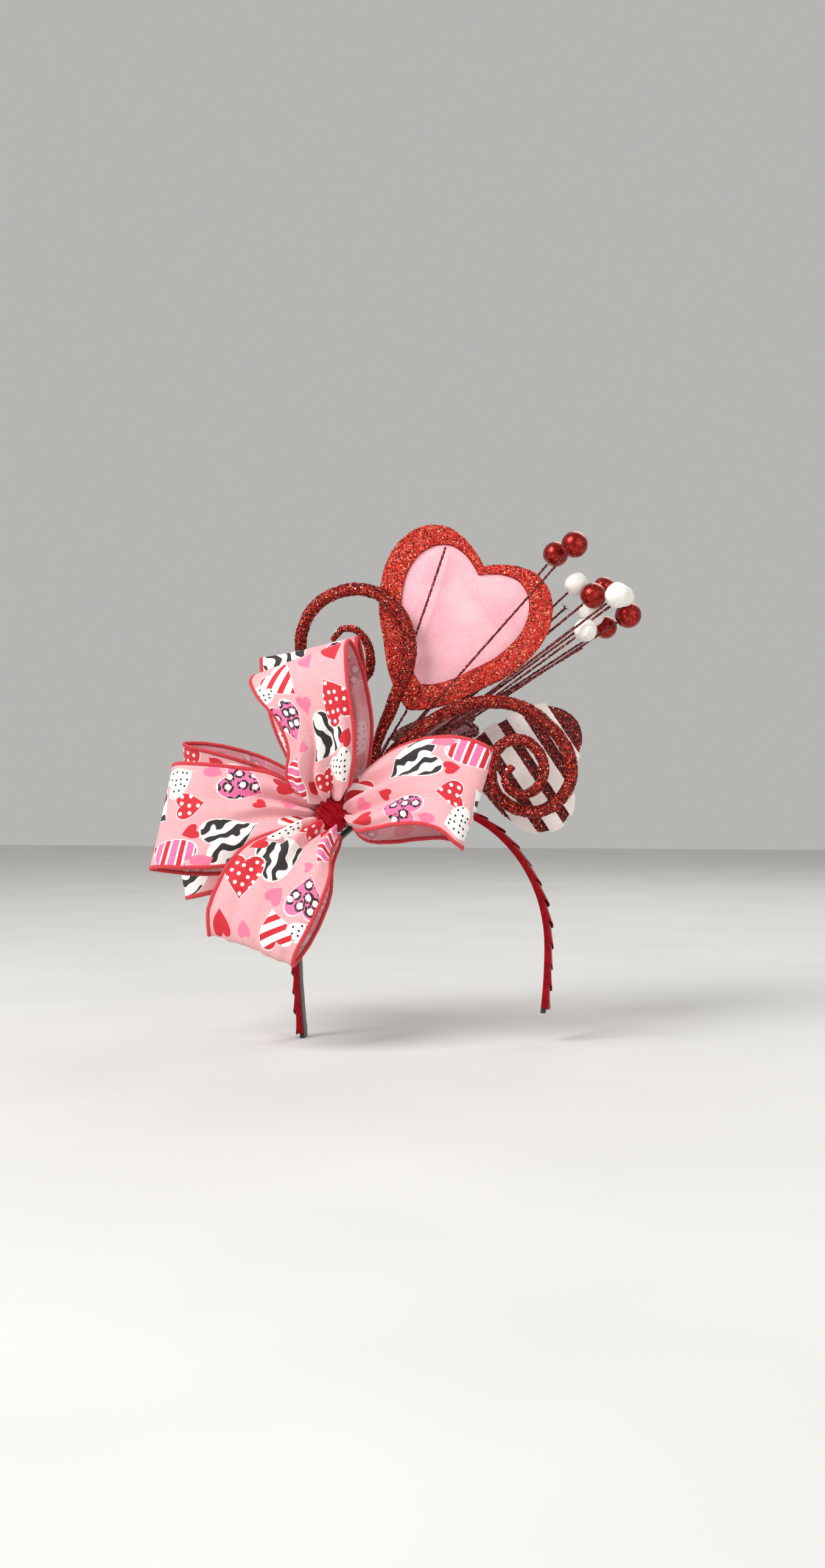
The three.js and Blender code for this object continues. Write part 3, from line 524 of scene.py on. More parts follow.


# Felt and foam: fibres over a slow mottle, with stray glitter caught on them, its grains painted near white as glints
# and made glossier
def feltMaterial(name, dark, light, spark):
    material, tree, shader = newMaterial(name, 0.9, Sheen_Weight=0.3)
    point = objectPoint(tree)
    fibre = speckle(tree, point, 1400.0, 4.0, 0.7)
    shade = calc(tree, "ADD", calc(tree, "MULTIPLY", fibre, 0.55), calc(tree, "MULTIPLY", speckle(tree, point, 60.0), 0.45))
    surface = node(tree, "NewGeometry").outputs["Normal"]
    grains = placed(tree, grain, {"Vector": point, "Surface": surface, "Scale": 1900.0, "Tilt": 0.5})
    glint = calc(tree, "GREATER_THAN", grains["Spark"], spark)
    color = ramp(tree, shade, [(0.35, dark), (0.65, light)])
    feed(tree, shader["Base Color"], mix(tree, calc(tree, "MULTIPLY", glint, 0.7), color, tone(255, 226, 232)))
    feed(tree, shader["Roughness"], calc(tree, "SUBTRACT", 0.9, calc(tree, "MULTIPLY", glint, 0.55)))
    feed(tree, shader["Normal"], bump(tree, fibre, 0.4, 0.3 * mm))
    return material


def frostMaterial():
    material, tree, shader = newMaterial("berryFrost", 0.8, Subsurface_Weight=0.1)
    point = objectPoint(tree)
    frost = speckle(tree, point, 900.0, 4.0, 0.65)
    lumps = node(tree, "TexVoronoi", {"Vector": point, "Scale": 420.0}, feature="SMOOTH_F1").outputs["Distance"]
    feed(tree, shader["Base Color"], ramp(tree, frost, [(0.3, tone(228, 224, 216)), (0.65, tone(252, 250, 245))]))
    feed(tree, shader["Normal"], bump(tree, calc(tree, "ADD", frost, lumps), 0.5, 0.4 * mm))
    return material


printFace = ribbonMaterial("ribbonPrint", True)
printBack = ribbonMaterial("ribbonWrongSide", False)
hemThread = hemMaterial()
satin = satinMaterial("redSatin", tone(108, 0, 12), tone(166, 6, 24), 40.0)
brightGlitter = grainyMaterial("brightGlitter", "bright", 0.36, 0.25, 1500.0, 1.1)
deepGlitter = grainyMaterial("deepGlitter", "deep", 0.36, 0.5, 1500.0, 1.1)
# Dark glitter and dark chips coat the striped heart's backing and the small heart's frame; on the small heart they are
# painted shade of its red glitter, as that heart sits in shadow behind the right curl
darkGlitter = grainyMaterial("darkGlitter", "dark", 0.36, 0.5, 1500.0, 1.0)
brightChip = chipMaterial("brightGlitterChips", "bright")
deepChip = chipMaterial("deepGlitterChips", "deep")
darkChip = chipMaterial("darkGlitterChips", "dark")
tinsel = grainyMaterial("tinselWire", "wire", 0.35, 0.55, 1700.0, 0.9)
berryRed = grainyMaterial("berryLacquer", "berry", 0.3, 0.88, 2400.0, 0.16, Coat_Weight=0.3, Coat_Roughness=0.15)
berryWhite = frostMaterial()
pinkFelt = feltMaterial("pinkFelt", tone(244, 166, 182), tone(255, 200, 206), 0.965)
# The small heart's pink felt, painted dark as shade: that heart sits in shadow behind the right curl
shadedPinkFelt = feltMaterial("shadedPinkFelt", tone(126, 60, 72), tone(168, 96, 108), 0.975)
foam = feltMaterial("stripFoam", tone(222, 210, 204), tone(246, 240, 234), 0.93)
lining = feltMaterial("bandLining", tone(30, 27, 26), tone(62, 56, 52), 2.0)
print("materials made")

# Bow loops. Aim, near and roll are degrees; reach, open and depth are millimetres. Rows run from
# the tie to the fold: out is a share of the reach, lift of half the opening, wide, side and slant
# of the ribbon's width, and fold of the depth that full pleats would have
ribbon = {
    "width": 63.5,
    "cloth": 0.5,             # cloth thickness
    "rootSpread": 2.7,
    "tuck": 0.7,              # the gathers run this far into the tie
    "pleats": 3,
    "stepsAlong": 156,
    "stepsAcross": 54,
    "crumple": 2.8,           # uneven folds beside the tie
    "fine": 1.0,              # height of the small folds beside the tie
    "sway": 0.9,              # slow waves in the open cloth
    "stray": 0.05,            # how far pleats stray from even spacing
    "hemWide": 1.45,
    "hemDeep": 0.9,
    "stitchPitch": 1.35,
}
columns = ("out", "lift", "wide", "side", "slant", "fold")
looseRows = [
    (0, 0.25, 0.2, 0, 0, 0.3), (0.14, 0.45, 0.42, 0, 0, 0.35), (0.3, 0.85, 0.64, 0, 0, 0.4),
    (0.52, 1, 0.86, 0, 0, 0.4), (0.74, 0.95, 0.97, 0, 0, 0.4), (0.93, 0.62, 1, 0, 0, 0.4), (1, 0, 1, 0, 0, 0.4),
]
bowLoops = {
    "top_front": {
        "aim": 101.4, "near": 4, "roll": 20, "reach": 94, "open": 30, "depth": -27, "room": 1.2,
        "rows": [
            (0, 0.2, 0.2, 0, 0, 0.4), (0.14, 0.5, 0.48, 0, 0, 0.6), (0.27, 0.8, 0.67, 0.02, 0, 0.8),
            (0.46, 0.95, 0.67, 0.11, 0, 0.7), (0.66, 1, 0.75, 0.11, 0.03, 0.55),
            (0.84, 0.85, 0.92, 0.04, 0.08, 0.45), (0.96, 0.45, 1, 0, 0.14, 0.4), (1, 0, 1, 0, 0.15, 0.4),
        ],
    },
    "top_back": {
        "aim": 99, "near": -2, "roll": 18, "reach": 102, "open": 12, "depth": -3.85, "room": 0.59,
        "rows": looseRows,
    },
    "left_front": {
        "aim": 180, "near": 3, "roll": -12, "reach": 101, "open": 26, "depth": -19.5, "room": 0.75,
        "rows": [
            (0, 0.2, 0.2, 0, 0, 0.4), (0.16, 0.5, 0.36, 0, 0, 0.5), (0.36, 0.85, 0.7, 0.02, 0, 0.8),
            (0.6, 1, 0.93, -0.04, 0, 0.7), (0.8, 0.9, 0.98, -0.04, -0.06, 0.55),
            (0.95, 0.5, 0.98, -0.02, -0.15, 0.45), (1, 0, 0.98, -0.02, -0.18, 0.4),
        ],
    },
    "left_back": {
        "aim": 172, "near": -20, "roll": 20, "reach": 104, "open": 16, "depth": 8, "room": 0.7,
        "rows": looseRows,
    },
    "low_front": {
        "aim": 237.8, "near": 24, "roll": -13, "reach": 95, "open": 24, "depth": -31, "room": 0.3,
        "rows": [
            (0, 0.22, 0.2, 0, 0, 0.4), (0.12, 0.45, 0.33, 0, 0, 0.7), (0.25, 0.75, 0.52, 0.05, 0, 0.8),
            (0.42, 1, 0.8, 0.06, 0, 0.7), (0.6, 1, 0.92, 0.06, 0, 0.55), (0.78, 0.9, 0.93, 0.04, 0, 0.45),
            (0.93, 0.55, 0.88, 0.01, 0.06, 0.4), (1, 0, 0.8, -0.04, 0.11, 0.4),
        ],
    },
    "low_back": {
        "aim": 192, "near": -13, "roll": -6, "reach": 101, "open": 10, "depth": -8.75, "room": 0.33,
        "rows": looseRows,
    },
    "right": {
        "aim": 8.4, "near": 25, "roll": 24, "reach": 93, "open": 27, "depth": -24, "room": 0.62,
        "rows": [
            (0, 0.25, 0.2, 0, 0, 0.4), (0.18, 0.5, 0.5, -0.03, 0, 0.7), (0.33, 0.8, 0.66, -0.07, 0, 0.8),
            (0.53, 1, 0.76, -0.12, 0, 0.7), (0.7, 0.98, 0.83, -0.13, -0.05, 0.55),
            (0.86, 0.8, 0.88, -0.08, -0.14, 0.45), (0.97, 0.4, 0.92, 0.01, -0.24, 0.4),
            (1, 0, 0.9, 0.04, -0.27, 0.4),
        ],
    },
}


def loopAxes(loop):
    aim, near, roll = (math.radians(loop[k]) for k in ("aim", "near", "roll"))
    flat = Vector((math.cos(aim), 0, math.sin(aim)))
    front = Vector((0, -1, 0))
    out = flat * math.cos(near) + front * math.sin(near)
    face = front * math.cos(near) - flat * math.sin(near)
    level = Vector((math.sin(aim), 0, -math.cos(aim)))
    side = level * math.cos(roll) + face * math.sin(roll)
    lift = face * math.cos(roll) - level * math.sin(roll)
    return out, side, lift


# Both hems of a loop as points, and the share of full pleats beside each pair
def loopHems(loop):
    out, side, lift = loopAxes(loop)
    root = (layout["tieRadius"] - ribbon["tuck"]) / math.cos(math.radians(loop["near"]))
    front = [dict(zip(columns, row)) for row in loop["rows"]]
    rows = front + [{**row, "lift": -row["lift"]} for row in reversed(front[:-1])]
    first, second = [], []
    for row in rows:
        raised = row["lift"] * loop["open"] / 2
        if row["lift"]:
            raised = math.copysign(max(abs(raised), ribbon["rootSpread"]), row["lift"])
        middle = out * max(row["out"] * loop["reach"], root) + side * row["side"] * ribbon["width"]
        middle += lift * raised + Vector((0, loop["depth"], 0))
        half = (side * row["wide"] + out * row["slant"]) * ribbon["width"] / 2
        first.append(middle - half)
        second.append(middle + half)
    return first, second, [row["fold"] for row in rows]


def ribbonGrid(loop, seed):
    first, second, folds = loopHems(loop)
    along, across = ribbon["stepsAlong"], ribbon["stepsAcross"]
    hemA, hemB = smoothLine(first, along), smoothLine(second, along)
    grid = np.zeros((along + 1, across + 1, 3))
    for i in range(along + 1):
        t = i / along
        a, b = hemA[i], hemB[i]
        before, after = max(i - 1, 0), min(i + 1, along)
        tangent = (hemA[after] - hemA[before]) + (hemB[after] - hemB[before])
        span = b - a
        normal = span.cross(tangent).normalized()
        spare = math.sqrt(max(0.0, ribbon["width"] ** 2 - span.length_squared))
        pleat = math.cos(math.pi * t) * between(folds, t) * spare / (2 * ribbon["pleats"]) / 2
        gathered = spare / ribbon["width"]
        ending = min(t, 1 - t)
        calm = min(1.0, ending * 14)
        for j in range(across + 1):
            u = j / across
            stray = ribbon["stray"] * uneven(u * 2.2, t * 2.5, seed) * math.sin(math.pi * u) * 2
            fold = -pleat * math.cos(2 * math.pi * ribbon["pleats"] * (u + stray))
            crumple = ribbon["crumple"] * uneven(u * 6.5, t * 9, seed + 1) * gathered ** 2 * calm
            fold += ribbon["fine"] * math.sin(2 * math.pi * (7 * u + stray * 5)) * gathered ** 3
            sway = ribbon["sway"] * uneven(u * 1.6, t * 4, seed + 2) * (1.2 - gathered) * calm
            grid[i, j] = a + span * u + normal * (fold + crumple + sway)
    return grid


def stitchedHem(name, edge, inward, normal):
    rows = evenly(np.hstack([edge, inward, normal]), pitch=ribbon["stitchPitch"] / 4)
    rings, uvs = [], []
    for i, row in enumerate(rows):
        p, side, lift = row[:3], row[3:6], row[6:]
        swell = 0.86 + 0.14 * math.cos(math.pi * i / 2)
        wobble = uneven(i * 0.07, 0, len(name)) * 0.12
        ring = []
        for k in range(9):
            angle = 2 * math.pi * k / 8
            wide, deep = ribbon["hemWide"] * math.cos(angle), ribbon["hemDeep"] * math.sin(angle)
            ring.append(fromBow(p + side * (wide * swell + 0.4 + wobble) + lift * deep * swell))
            uvs.append((i / 4, k / 8))
        rings.append(ring[:-1])
        uvs.pop()
    points, faces = tubeMesh(rings)
    obj = meshPiece(name, points, faces, [hemThread], uvs=uvs + [(0, 0), (0, 0)])
    return finishPiece(obj)


def ribbonLoop(name, loop, seed):
    grid = ribbonGrid(loop, seed)
    normals = gridNormals(grid)
    middle = (grid[:, 0] + grid[:, -1]) / 2
    steps = np.linalg.norm(np.diff(middle, axis=0), axis=1)
    run = np.concatenate([[0], np.cumsum(steps)])
    across = np.linspace(0, 1, grid.shape[1])
    start = seed * 0.53
    uvs = [(u, start + v / ribbon["width"]) for v in run for u in across] * 2
    points, faces, kinds = sheetMesh(grid, normals, ribbon["cloth"])
    points = np.array([fromBow(p) for p in points])
    obj = meshPiece("ribbon_" + name, points, faces, [printFace, printBack], kinds, uvs)
    finishPiece(obj, ["loop_" + name])
    for side, index, near in (("a", 0, 2), ("b", -1, -3)):
        inward = grid[:, near] - grid[:, index]
        inward /= np.linalg.norm(inward, axis=1, keepdims=True)
        stitchedHem(f"hem_{name}_{side}", grid[:, index], inward, normals[:, index])
    print(f"ribbon {name}: {run[-1]:.0f} mm")


# Centre tie: satin wound over the gathers, creased slantwise across its front
tieShape = {
    "profile": [(0, -33.6), (8.6, -33.3), (10.6, -31.6), (11, -27.3), (10.56, -12.25), (11, 3.9), (9.35, 11.4), (0, 13)],
    "sides": 120,
    "steps": 110,
    "creases": 1.25,          # height of the creases
    "creasePitch": 5,
    "creaseTurn": math.radians(45),
}


def centreTie():
    line = smoothLine([Vector((r, y, 0)) for r, y in tieShape["profile"]], tieShape["steps"])[1:-1]
    rings, uvs = [], []
    sides = tieShape["sides"]
    for i, p in enumerate(line):
        before, after = line[max(i - 1, 0)], line[min(i + 1, len(line) - 1)]
        tangent = (after - before).normalized()
        face = Vector((-tangent.y, tangent.x, 0)) * -1
        ring = []
        for k in range(sides):
            angle = 2 * math.pi * k / sides
            x, z = p.x * math.cos(angle), p.x * math.sin(angle)
            lean = x * math.sin(tieShape["creaseTurn"]) + z * math.cos(tieShape["creaseTurn"])
            along = x * math.cos(tieShape["creaseTurn"]) - z * math.sin(tieShape["creaseTurn"])
            bent = lean / tieShape["creasePitch"] + uneven(lean * 0.12, along * 0.08, 3) * 0.5
            crease = 1 - 2 * abs(math.sin(math.pi * bent))
            soft = uneven(lean * 0.3, along * 0.12 + p.y * 0.1, 5)
            push = tieShape["creases"] * (crease * 0.6 - 0.5 + soft * 0.5)
            radius = p.x + face.x * push
            ring.append(fromBow((radius * math.cos(angle), p.y + face.y * push, radius * math.sin(angle))))
            uvs.append((angle, i / 30))
        rings.append(ring)
    points, faces = tubeMesh(rings)
    obj = meshPiece("satin_tie", points, faces, [satin], uvs=uvs + [(0, 0), (0, 0)])
    finishPiece(obj, ["centre_tie"])
    return obj


tie = centreTie()
for seed, (name, loop) in enumerate(bowLoops.items()):
    ribbonLoop(name, loop, seed + 1)

# Alice band: a dark covered core, and satin wound over it from beside the bow to each tip
band = {
    "halfWidth": 74, "rise": 82, "leg": 49, "lean": 3, "slide": 9,
    "thick": 3, "width": 10, "inset": 0.4, "corner": 1.1,
    "bareLeft": -59.0, "bareRight": -27.0,
    "pitch": 12.4, "slant": 0.45, "wall": 0.8, "step": 1.5,
    "satin": 0.42,            # thickness of the wound ribbon
    "tucked": 0.16,           # share of a turn that lies under the turn before it
}


def bandLine():
    def leg(side, length, share):
        lean = band["lean"] * length / band["leg"]
        return Vector((side * (band["halfWidth"] - lean * share ** 2), 0, -band["rise"] - length * share))

    points = [leg(-1, band["leg"] + band["slide"], i / 3) for i in (3, 2, 1)]
    for i in range(25):
        angle = (i / 24 * 2 - 1) * math.pi / 2
        points.append(Vector((band["halfWidth"] * math.sin(angle), 0, band["rise"] * (math.cos(angle) - 1))))
    points += [leg(1, band["leg"] - band["slide"], i / 3) for i in (1, 2, 3)]
    line = evenly(smoothLine(points, 900), count=901)
    run = np.linspace(0, np.linalg.norm(np.diff(line, axis=0), axis=1).sum(), len(line))
    return line, run - run[line[:, 2].argmax()]


bandPoints, bandRun = bandLine()


def onBand(s, across, up):
    point = np.array([np.interp(s, bandRun, bandPoints[:, k]) for k in range(3)])
    ahead, behind = (np.array([np.interp(s + d, bandRun, bandPoints[:, k]) for k in range(3)]) for d in (0.5, -0.5))
    tangent = (ahead - behind) / np.linalg.norm(ahead - behind)
    return (point + np.array([-tangent[2], 0, tangent[0]]) * up + np.array([0, across, 0])) * mm


def bandCore():
    half, thick, corner = band["width"] / 2, band["thick"], band["corner"]
    section = []
    for across, up, turn in ((half, thick, 0), (-half, thick, 90), (-half, 0, 180), (half, 0, 270)):
        inX, inY = across - math.copysign(corner, across), up - corner if up else corner
        for k in range(5):
            angle = math.radians(turn + 22.5 * k)
            section.append((inX + corner * math.cos(angle), inY + corner * math.sin(angle)))
    places = np.linspace(bandRun[0] + band["inset"], bandRun[-1] - band["inset"], 260)
    points, faces = tubeMesh([[Vector(onBand(s, across, up)) for across, up in section] for s in places])
    return finishPiece(meshPiece("band_cover", points, faces, [lining]), ["band_core"])


def wrapPath(rise, bulge):
    edge = band["width"] / 2 + layout["clear"] + band["satin"] / 2 + bulge
    top = band["thick"] + layout["clear"] + rise
    corner = 1.3
    path = [(-edge, 0.25), (-edge, 1.2), (-edge, top - corner)]
    path += [(-edge + corner * (1 - math.cos(a)), top - corner + corner * math.sin(a)) for a in (0.4, 0.8, 1.2, 1.57)]
    path += [(x * (edge - corner), top + 0.3 * (1 - x * x)) for x in (-0.75, -0.5, -0.25, 0)]
    path += [(-x, y) for x, y in reversed(path[:-1])]
    return evenly([(x, y, 0) for x, y in path], count=33)[:, :2]


def bandWrap(name, start, stop, node, seed):
    forward = math.copysign(1, stop - start)
    turns = max(1, round(abs(stop - start) / band["pitch"]))
    slide = band["slant"] * (band["width"] / 2 + layout["clear"] + band["wall"]) * forward
    reach = stop - start - 2 * slide
    points, faces, kinds, uvs = [], [], [], []
    for k in range(turns):
        flare = 0.55 + 0.45 * uneven(k * 0.9, seed, 1) + (0.35 if k > turns * 0.55 else 0)
        grid = []
        for t in np.linspace(-band["tucked"] if k else 0, 1, 12):
            proud = band["step"] * max(0, flare) * max(0, t) ** 1.6
            path = wrapPath(0.4 + proud, 0.2 * max(0, t) ** 2)
            row = []
            for j, (across, up) in enumerate(path):
                last = k == turns - 1
                slant = band["slant"] * across * forward * (1 - (t if last else 0))
                slant *= t if k == 0 else 1
                frayed = -abs(uneven(j * 0.7, k, seed)) * 1.6 * t ** 3 if last else 0
                s = start + slide + reach * (k + t) / turns + slant + frayed * forward
                lifted = uneven(across * 0.3, k + t, seed) * 0.12
                row.append(onBand(min(max(s, bandRun[0]), bandRun[-1]), across, up + lifted))
                uvs.append((j / 32 * 1.4, (k + t) * 0.9))
            grid.append(row)
        grid = np.array(grid)
        more, moreFaces, moreKinds = sheetMesh(grid, gridNormals(grid), band["satin"] * mm)
        count = len(grid) * 33
        uvs = uvs[:len(points)] + uvs[-count:] * 2
        faces += [tuple(v + len(points) for v in f) for f in moreFaces]
        points += more.tolist()
        kinds += [0] * len(moreKinds)
    obj = meshPiece(name, np.array(points), faces, [satin], kinds, uvs)
    finishPiece(obj, [node])


core = bandCore()
bandWrap("satin_wrap_left", band["bareLeft"], bandRun[0], "band_wrap_left", 11)
bandWrap("satin_wrap_right", band["bareRight"], bandRun[-1], "band_wrap_right", 12)
print("bow and band made")

# Spray foot: the stems bound together with a spiral of satin tape
hub = {"foot": 11.3, "footRadius": 4.4, "topRadius": 7.6, "footBack": 2.5, "back": 6, "tape": 3.4, "lap": 0.35}
hubAxis = Vector((23.2, 0, 23.9)).normalized()
hubSide = Vector((23.9, 0, -23.2)).normalized()


def hubSeat(right, rear):
    pitch = layout["seatPitch"]
    return hubSide * right * pitch + Vector((0, rear * pitch, 0)) + hubAxis * layout["clear"]


def stemHub():
    reach = Vector((23.2, 0, 23.9)).length
    sections = [(0, hub["footRadius"], hub["footBack"]), (0.3, hub["footRadius"] * 1.15, hub["footBack"]),
                (0.7, hub["topRadius"] * 0.95, hub["back"] * 0.8), (1, hub["topRadius"], hub["back"])]
    radii, backs = [row[1] for row in sections], [row[2] for row in sections]
    rings, uvs = [], []
    for i in range(91):
        t = i / 90
        place = hub["foot"] + (reach - hub["foot"]) * t
        share = np.interp(t, [0, 0.3, 0.7, 1], [0, 1 / 3, 2 / 3, 1])
        ring = []
        for k in range(48):
            angle = 2 * math.pi * k / 48
            lap = ((place / hub["tape"] + k / 48) % 1 - 1) * hub["lap"]
            strand = 0.2 * math.cos(7 * angle) * (1 - t)
            radius = between(radii, share) + lap + strand - 0.1
            p = hubAxis * place + hubSide * radius * math.cos(angle)
            ring.append(fromBow(p + Vector((0, between(backs, share) + radius * math.sin(angle), 0))))
            uvs.append((k / 8, t * 2))
        rings.append(ring)
    points, faces = tubeMesh(rings)
    obj = meshPiece("taped_stem_foot", points, faces, [satin], uvs=uvs + [(0, 0), (0, 0)])
    return finishPiece(obj, ["stem_hub"])


stemHub()

# Coarse glitter: flat flakes seated in a coat at every tilt, their points buried in it
def glitterFlakes(name, source, count, size, material, seed, tilt=0.55):
    draw = np.random.RandomState(seed)
    mesh = source.data
    mesh.calc_loop_triangles()
    places = np.zeros(len(mesh.vertices) * 3)
    mesh.vertices.foreach_get("co", places)
    corners = np.zeros(len(mesh.loop_triangles) * 3, dtype=np.int32)
    mesh.loop_triangles.foreach_get("vertices", corners)
    a, b, c = (places.reshape(-1, 3)[corners.reshape(-1, 3)[:, k]] for k in range(3))
    facing = np.cross(b - a, c - a)
    area = np.linalg.norm(facing, axis=1)
    facing /= np.maximum(area[:, None], 1e-15)
    chosen = draw.choice(len(area), count, p=area / area.sum())
    r, s = np.sqrt(draw.rand(count, 1)), draw.rand(count, 1)
    middle = a[chosen] * (1 - r) + b[chosen] * r * (1 - s) + c[chosen] * r * s
    normal = facing[chosen] + draw.normal(0, tilt, (count, 3)) * 0.6
    normal /= np.linalg.norm(normal, axis=1, keepdims=True)
    side = np.cross(normal, draw.normal(0, 1, (count, 3)))
    side /= np.linalg.norm(side, axis=1, keepdims=True)
    other = np.cross(normal, side)
    radius = size * mm * draw.uniform(0.6, 1.25, (count, 1)) / 2
    top = middle + facing[chosen] * 0.12 * mm
    rim = [top + (side * math.cos(k * math.pi / 3) + other * math.sin(k * math.pi / 3)) * radius for k in range(6)]
    points = np.stack(rim + [middle - normal * radius], axis=1).reshape(-1, 3)
    faces = []
    for i in range(0, count * 7, 7):
        faces.append(tuple(range(i, i + 6)))
        faces += [(i + k, i + 6, i + (k + 1) % 6) for k in range(6)]
    uvs = np.repeat(draw.rand(count, 2), 7, axis=0)
    obj = meshPiece(name, points, faces, [material], uvs=uvs)
    return finishPiece(obj, smooth=False)


# Curls: turn in degrees about the curl's centre; radius, depth and tube as shares of their sizes
curlSize = {"radius": 37, "tube": 4, "foot": (0.6, 0.62), "sides": 28, "lumps": 0.05, "flake": 0.95}
curls = {
    "left_curl": {
        "centre": (-0.373, 2.0865), "seat": (-1.65, -1.9), "flakes": 5200,
        "rows": [
            (-79, 1.9, -0.149, 0.66), (-70, 1.47, -0.189, 0.8), (-60, 1.26, -0.23, 0.95),
            (-44, 1.06, -0.27, 1), (-24, 1, -0.297, 1), (-4, 0.97, -0.297, 1), (16, 0.965, -0.297, 1),
            (36, 0.96, -0.284, 1), (56, 0.97, -0.257, 1), (76, 0.955, -0.216, 0.98),
            (98, 0.925, -0.149, 0.96), (122, 0.9, -0.081, 0.94), (148, 0.87, 0.027, 0.92),
            (176, 0.84, 0.135, 0.9), (208, 0.78, 0.216, 0.88), (242, 0.67, 0.243, 0.85),
            (276, 0.59, 0.216, 0.8), (308, 0.47, 0.162, 0.76), (340, 0.33, 0.081, 0.7),
            (385, 0.27, 0.014, 0.62), (432, 0.3, 0, 0.55), (474, 0.33, 0, 0.48), (520, 0.33, 0, 0.42),
        ],
    },
    "right_curl": {
        "centre": (2.4135, 0.108), "seat": (1.65, -1.9), "flakes": 6400,
        "rows": [
            (175, 2.19, -0.135, 0.7), (170, 2.04, -0.189, 0.88), (164, 1.87, -0.243, 1),
            (152, 1.64, -0.243, 1), (139, 1.45, -0.27, 1), (123, 1.27, -0.27, 1), (105, 1.1, -0.27, 1),
            (84, 0.95, -0.27, 1), (60, 0.82, -0.27, 1), (33, 0.79, -0.27, 0.98), (7, 0.8, -0.27, 0.98),
            (-18, 0.82, -0.27, 0.96), (-43, 0.8, -0.27, 0.96), (-68, 0.76, -0.27, 0.95),
            (-94, 0.68, -0.284, 0.93), (-121, 0.615, -0.297, 0.92), (-149, 0.56, -0.324, 0.9),
            (-182, 0.51, -0.351, 0.88), (-214, 0.5, -0.378, 0.86), (-244, 0.49, -0.405, 0.84),
            (-275, 0.44, -0.432, 0.82), (-318, 0.36, -0.459, 0.8), (-366, 0.35, -0.486, 0.78),
            (-412, 0.4, -0.486, 0.75), (-448, 0.435, -0.486, 0.72), (-480, 0.41, -0.486, 0.68),
            (-512, 0.32, -0.473, 0.62), (-548, 0.16, -0.446, 0.55),
        ],
    },
}


def curl(name, spec, seed):
    size = curlSize["radius"]
    x, z = (share * size for share in spec["centre"])
    start = hubSeat(*spec["seat"])
    points = [start, start + hubAxis * curlSize["tube"] * 1.25]
    for turn, radius, depth, _ in spec["rows"]:
        angle, reach = math.radians(turn), radius * size
        points.append(Vector((x + reach * math.cos(angle), depth * size, z + reach * math.sin(angle))))
    thick = list(curlSize["foot"]) + [row[3] for row in spec["rows"]]
    line = [fromSpray(p) for p in smoothLine(points, 13 * len(points))]

    def radiusAt(t, angle):
        lumps = 1 + curlSize["lumps"] * (uneven(t * 90, math.sin(angle), seed) - 0.3)
        return curlSize["tube"] * mm * between(thick, t) * lumps

    rings = ringsAlong(line, radiusAt, curlSize["sides"])
    points, faces = tubeMesh(rings)
    obj = meshPiece("glitter_" + name, points, faces, [deepGlitter])
    finishPiece(obj, [name])
    glitterFlakes(f"flakes_{name}", obj, spec["flakes"], curlSize["flake"], deepChip, seed)


for seed, (name, spec) in enumerate(curls.items()):
    curl(name, spec, 21 + seed)
print("curls made")

# Hearts: half outline as shares of length and half width
heartAlong = [0, 0.055, 0.15, 0.28, 0.42, 0.57, 0.7, 0.83, 0.94, 1, 0.985, 0.94, 0.9]
heartAcross = [0, 0.2, 0.41, 0.61, 0.82, 0.95, 1, 0.96, 0.82, 0.58, 0.32, 0.12, 0]
insert = {"along": 0.765, "across": 0.735, "start": 0.155, "bevel": 0.45}
hearts = {
    "big": {
        "tip": inSpray((0.102, 0, 0.198)), "lean": 28, "pitch": 3, "yaw": 0, "length": 110, "half": 53.5,
        "depth": 6, "felt": 3.4, "edge": 1.1, "flakes": 9000, "flake": 1.05, "coat": (brightGlitter, brightChip),
        "filling": pinkFelt, "slots": ("red_glitter", "pink_felt"), "seat": (-1.5, 1),
    },
    # The small heart's dark glitter, dark chips and darkened felt are painted shade, as it sits in shadow behind the
    # right curl
    "small": {
        "tip": inSpray((0.0485, 0.17, 0.1175)), "lean": 80, "pitch": 0, "yaw": -62, "length": 55, "half": 21,
        "depth": 3.4, "felt": 2.04, "edge": 0.6, "flakes": 1300, "flake": 0.8, "coat": (darkGlitter, darkChip),
        "filling": shadedPinkFelt, "slots": ("dark_glitter", "dusky_felt"), "seat": (-1.5, 2),
    },
    "striped": {
        "tip": inSpray((0.273, 0.05, 0.062)), "lean": 100, "pitch": 3, "yaw": -6, "length": 71, "half": 39,
        "depth": 3, "edge": 0.5, "flakes": 3200, "flake": 0.85, "seat": (3.2, 0.2),
    },
}
stripes = {"width": 9.4, "pitch": 16.8, "depth": 1.4, "turn": math.radians(43), "overhang": 1.6,
           "offsets": (-1.3, -0.32, 0.62, 1.6), "middle": 0.55, "voxel": 0.5, "crumble": 0.28}


def heartTurn(spec):
    lean, pitch, yaw = (math.radians(spec[k]) for k in ("lean", "pitch", "yaw"))
    turn = Matrix.Rotation(lean, 3, "Y") @ Matrix.Rotation(-pitch, 3, "X")
    return turn @ Matrix.Rotation(yaw, 3, "Z") @ Matrix.Rotation(math.pi / 2, 3, "X")


def heartMatrix(spec):
    place = (turned @ heartTurn(spec)).to_4x4()
    place.translation = fromSpray(spec["tip"])
    return place @ Matrix.Scale(mm, 4)


def heartOutline(length, half, start=0.0, margin=0.0, count=72):
    side = [(between(heartAcross, i / count) * half, between(heartAlong, i / count) * length + start)
            for i in range(count + 1)]
    outline = side + [(-x, y) for x, y in reversed(side[1:-1])]
    if not margin:
        return outline
    moved = []
    for i, (x, y) in enumerate(outline):
        (ax, ay), (bx, by) = outline[i - 1], outline[(i + 1) % len(outline)]
        run = Vector((bx - ax, by - ay)).normalized()
        moved.append((x + run.y * margin, y - run.x * margin))
    return moved


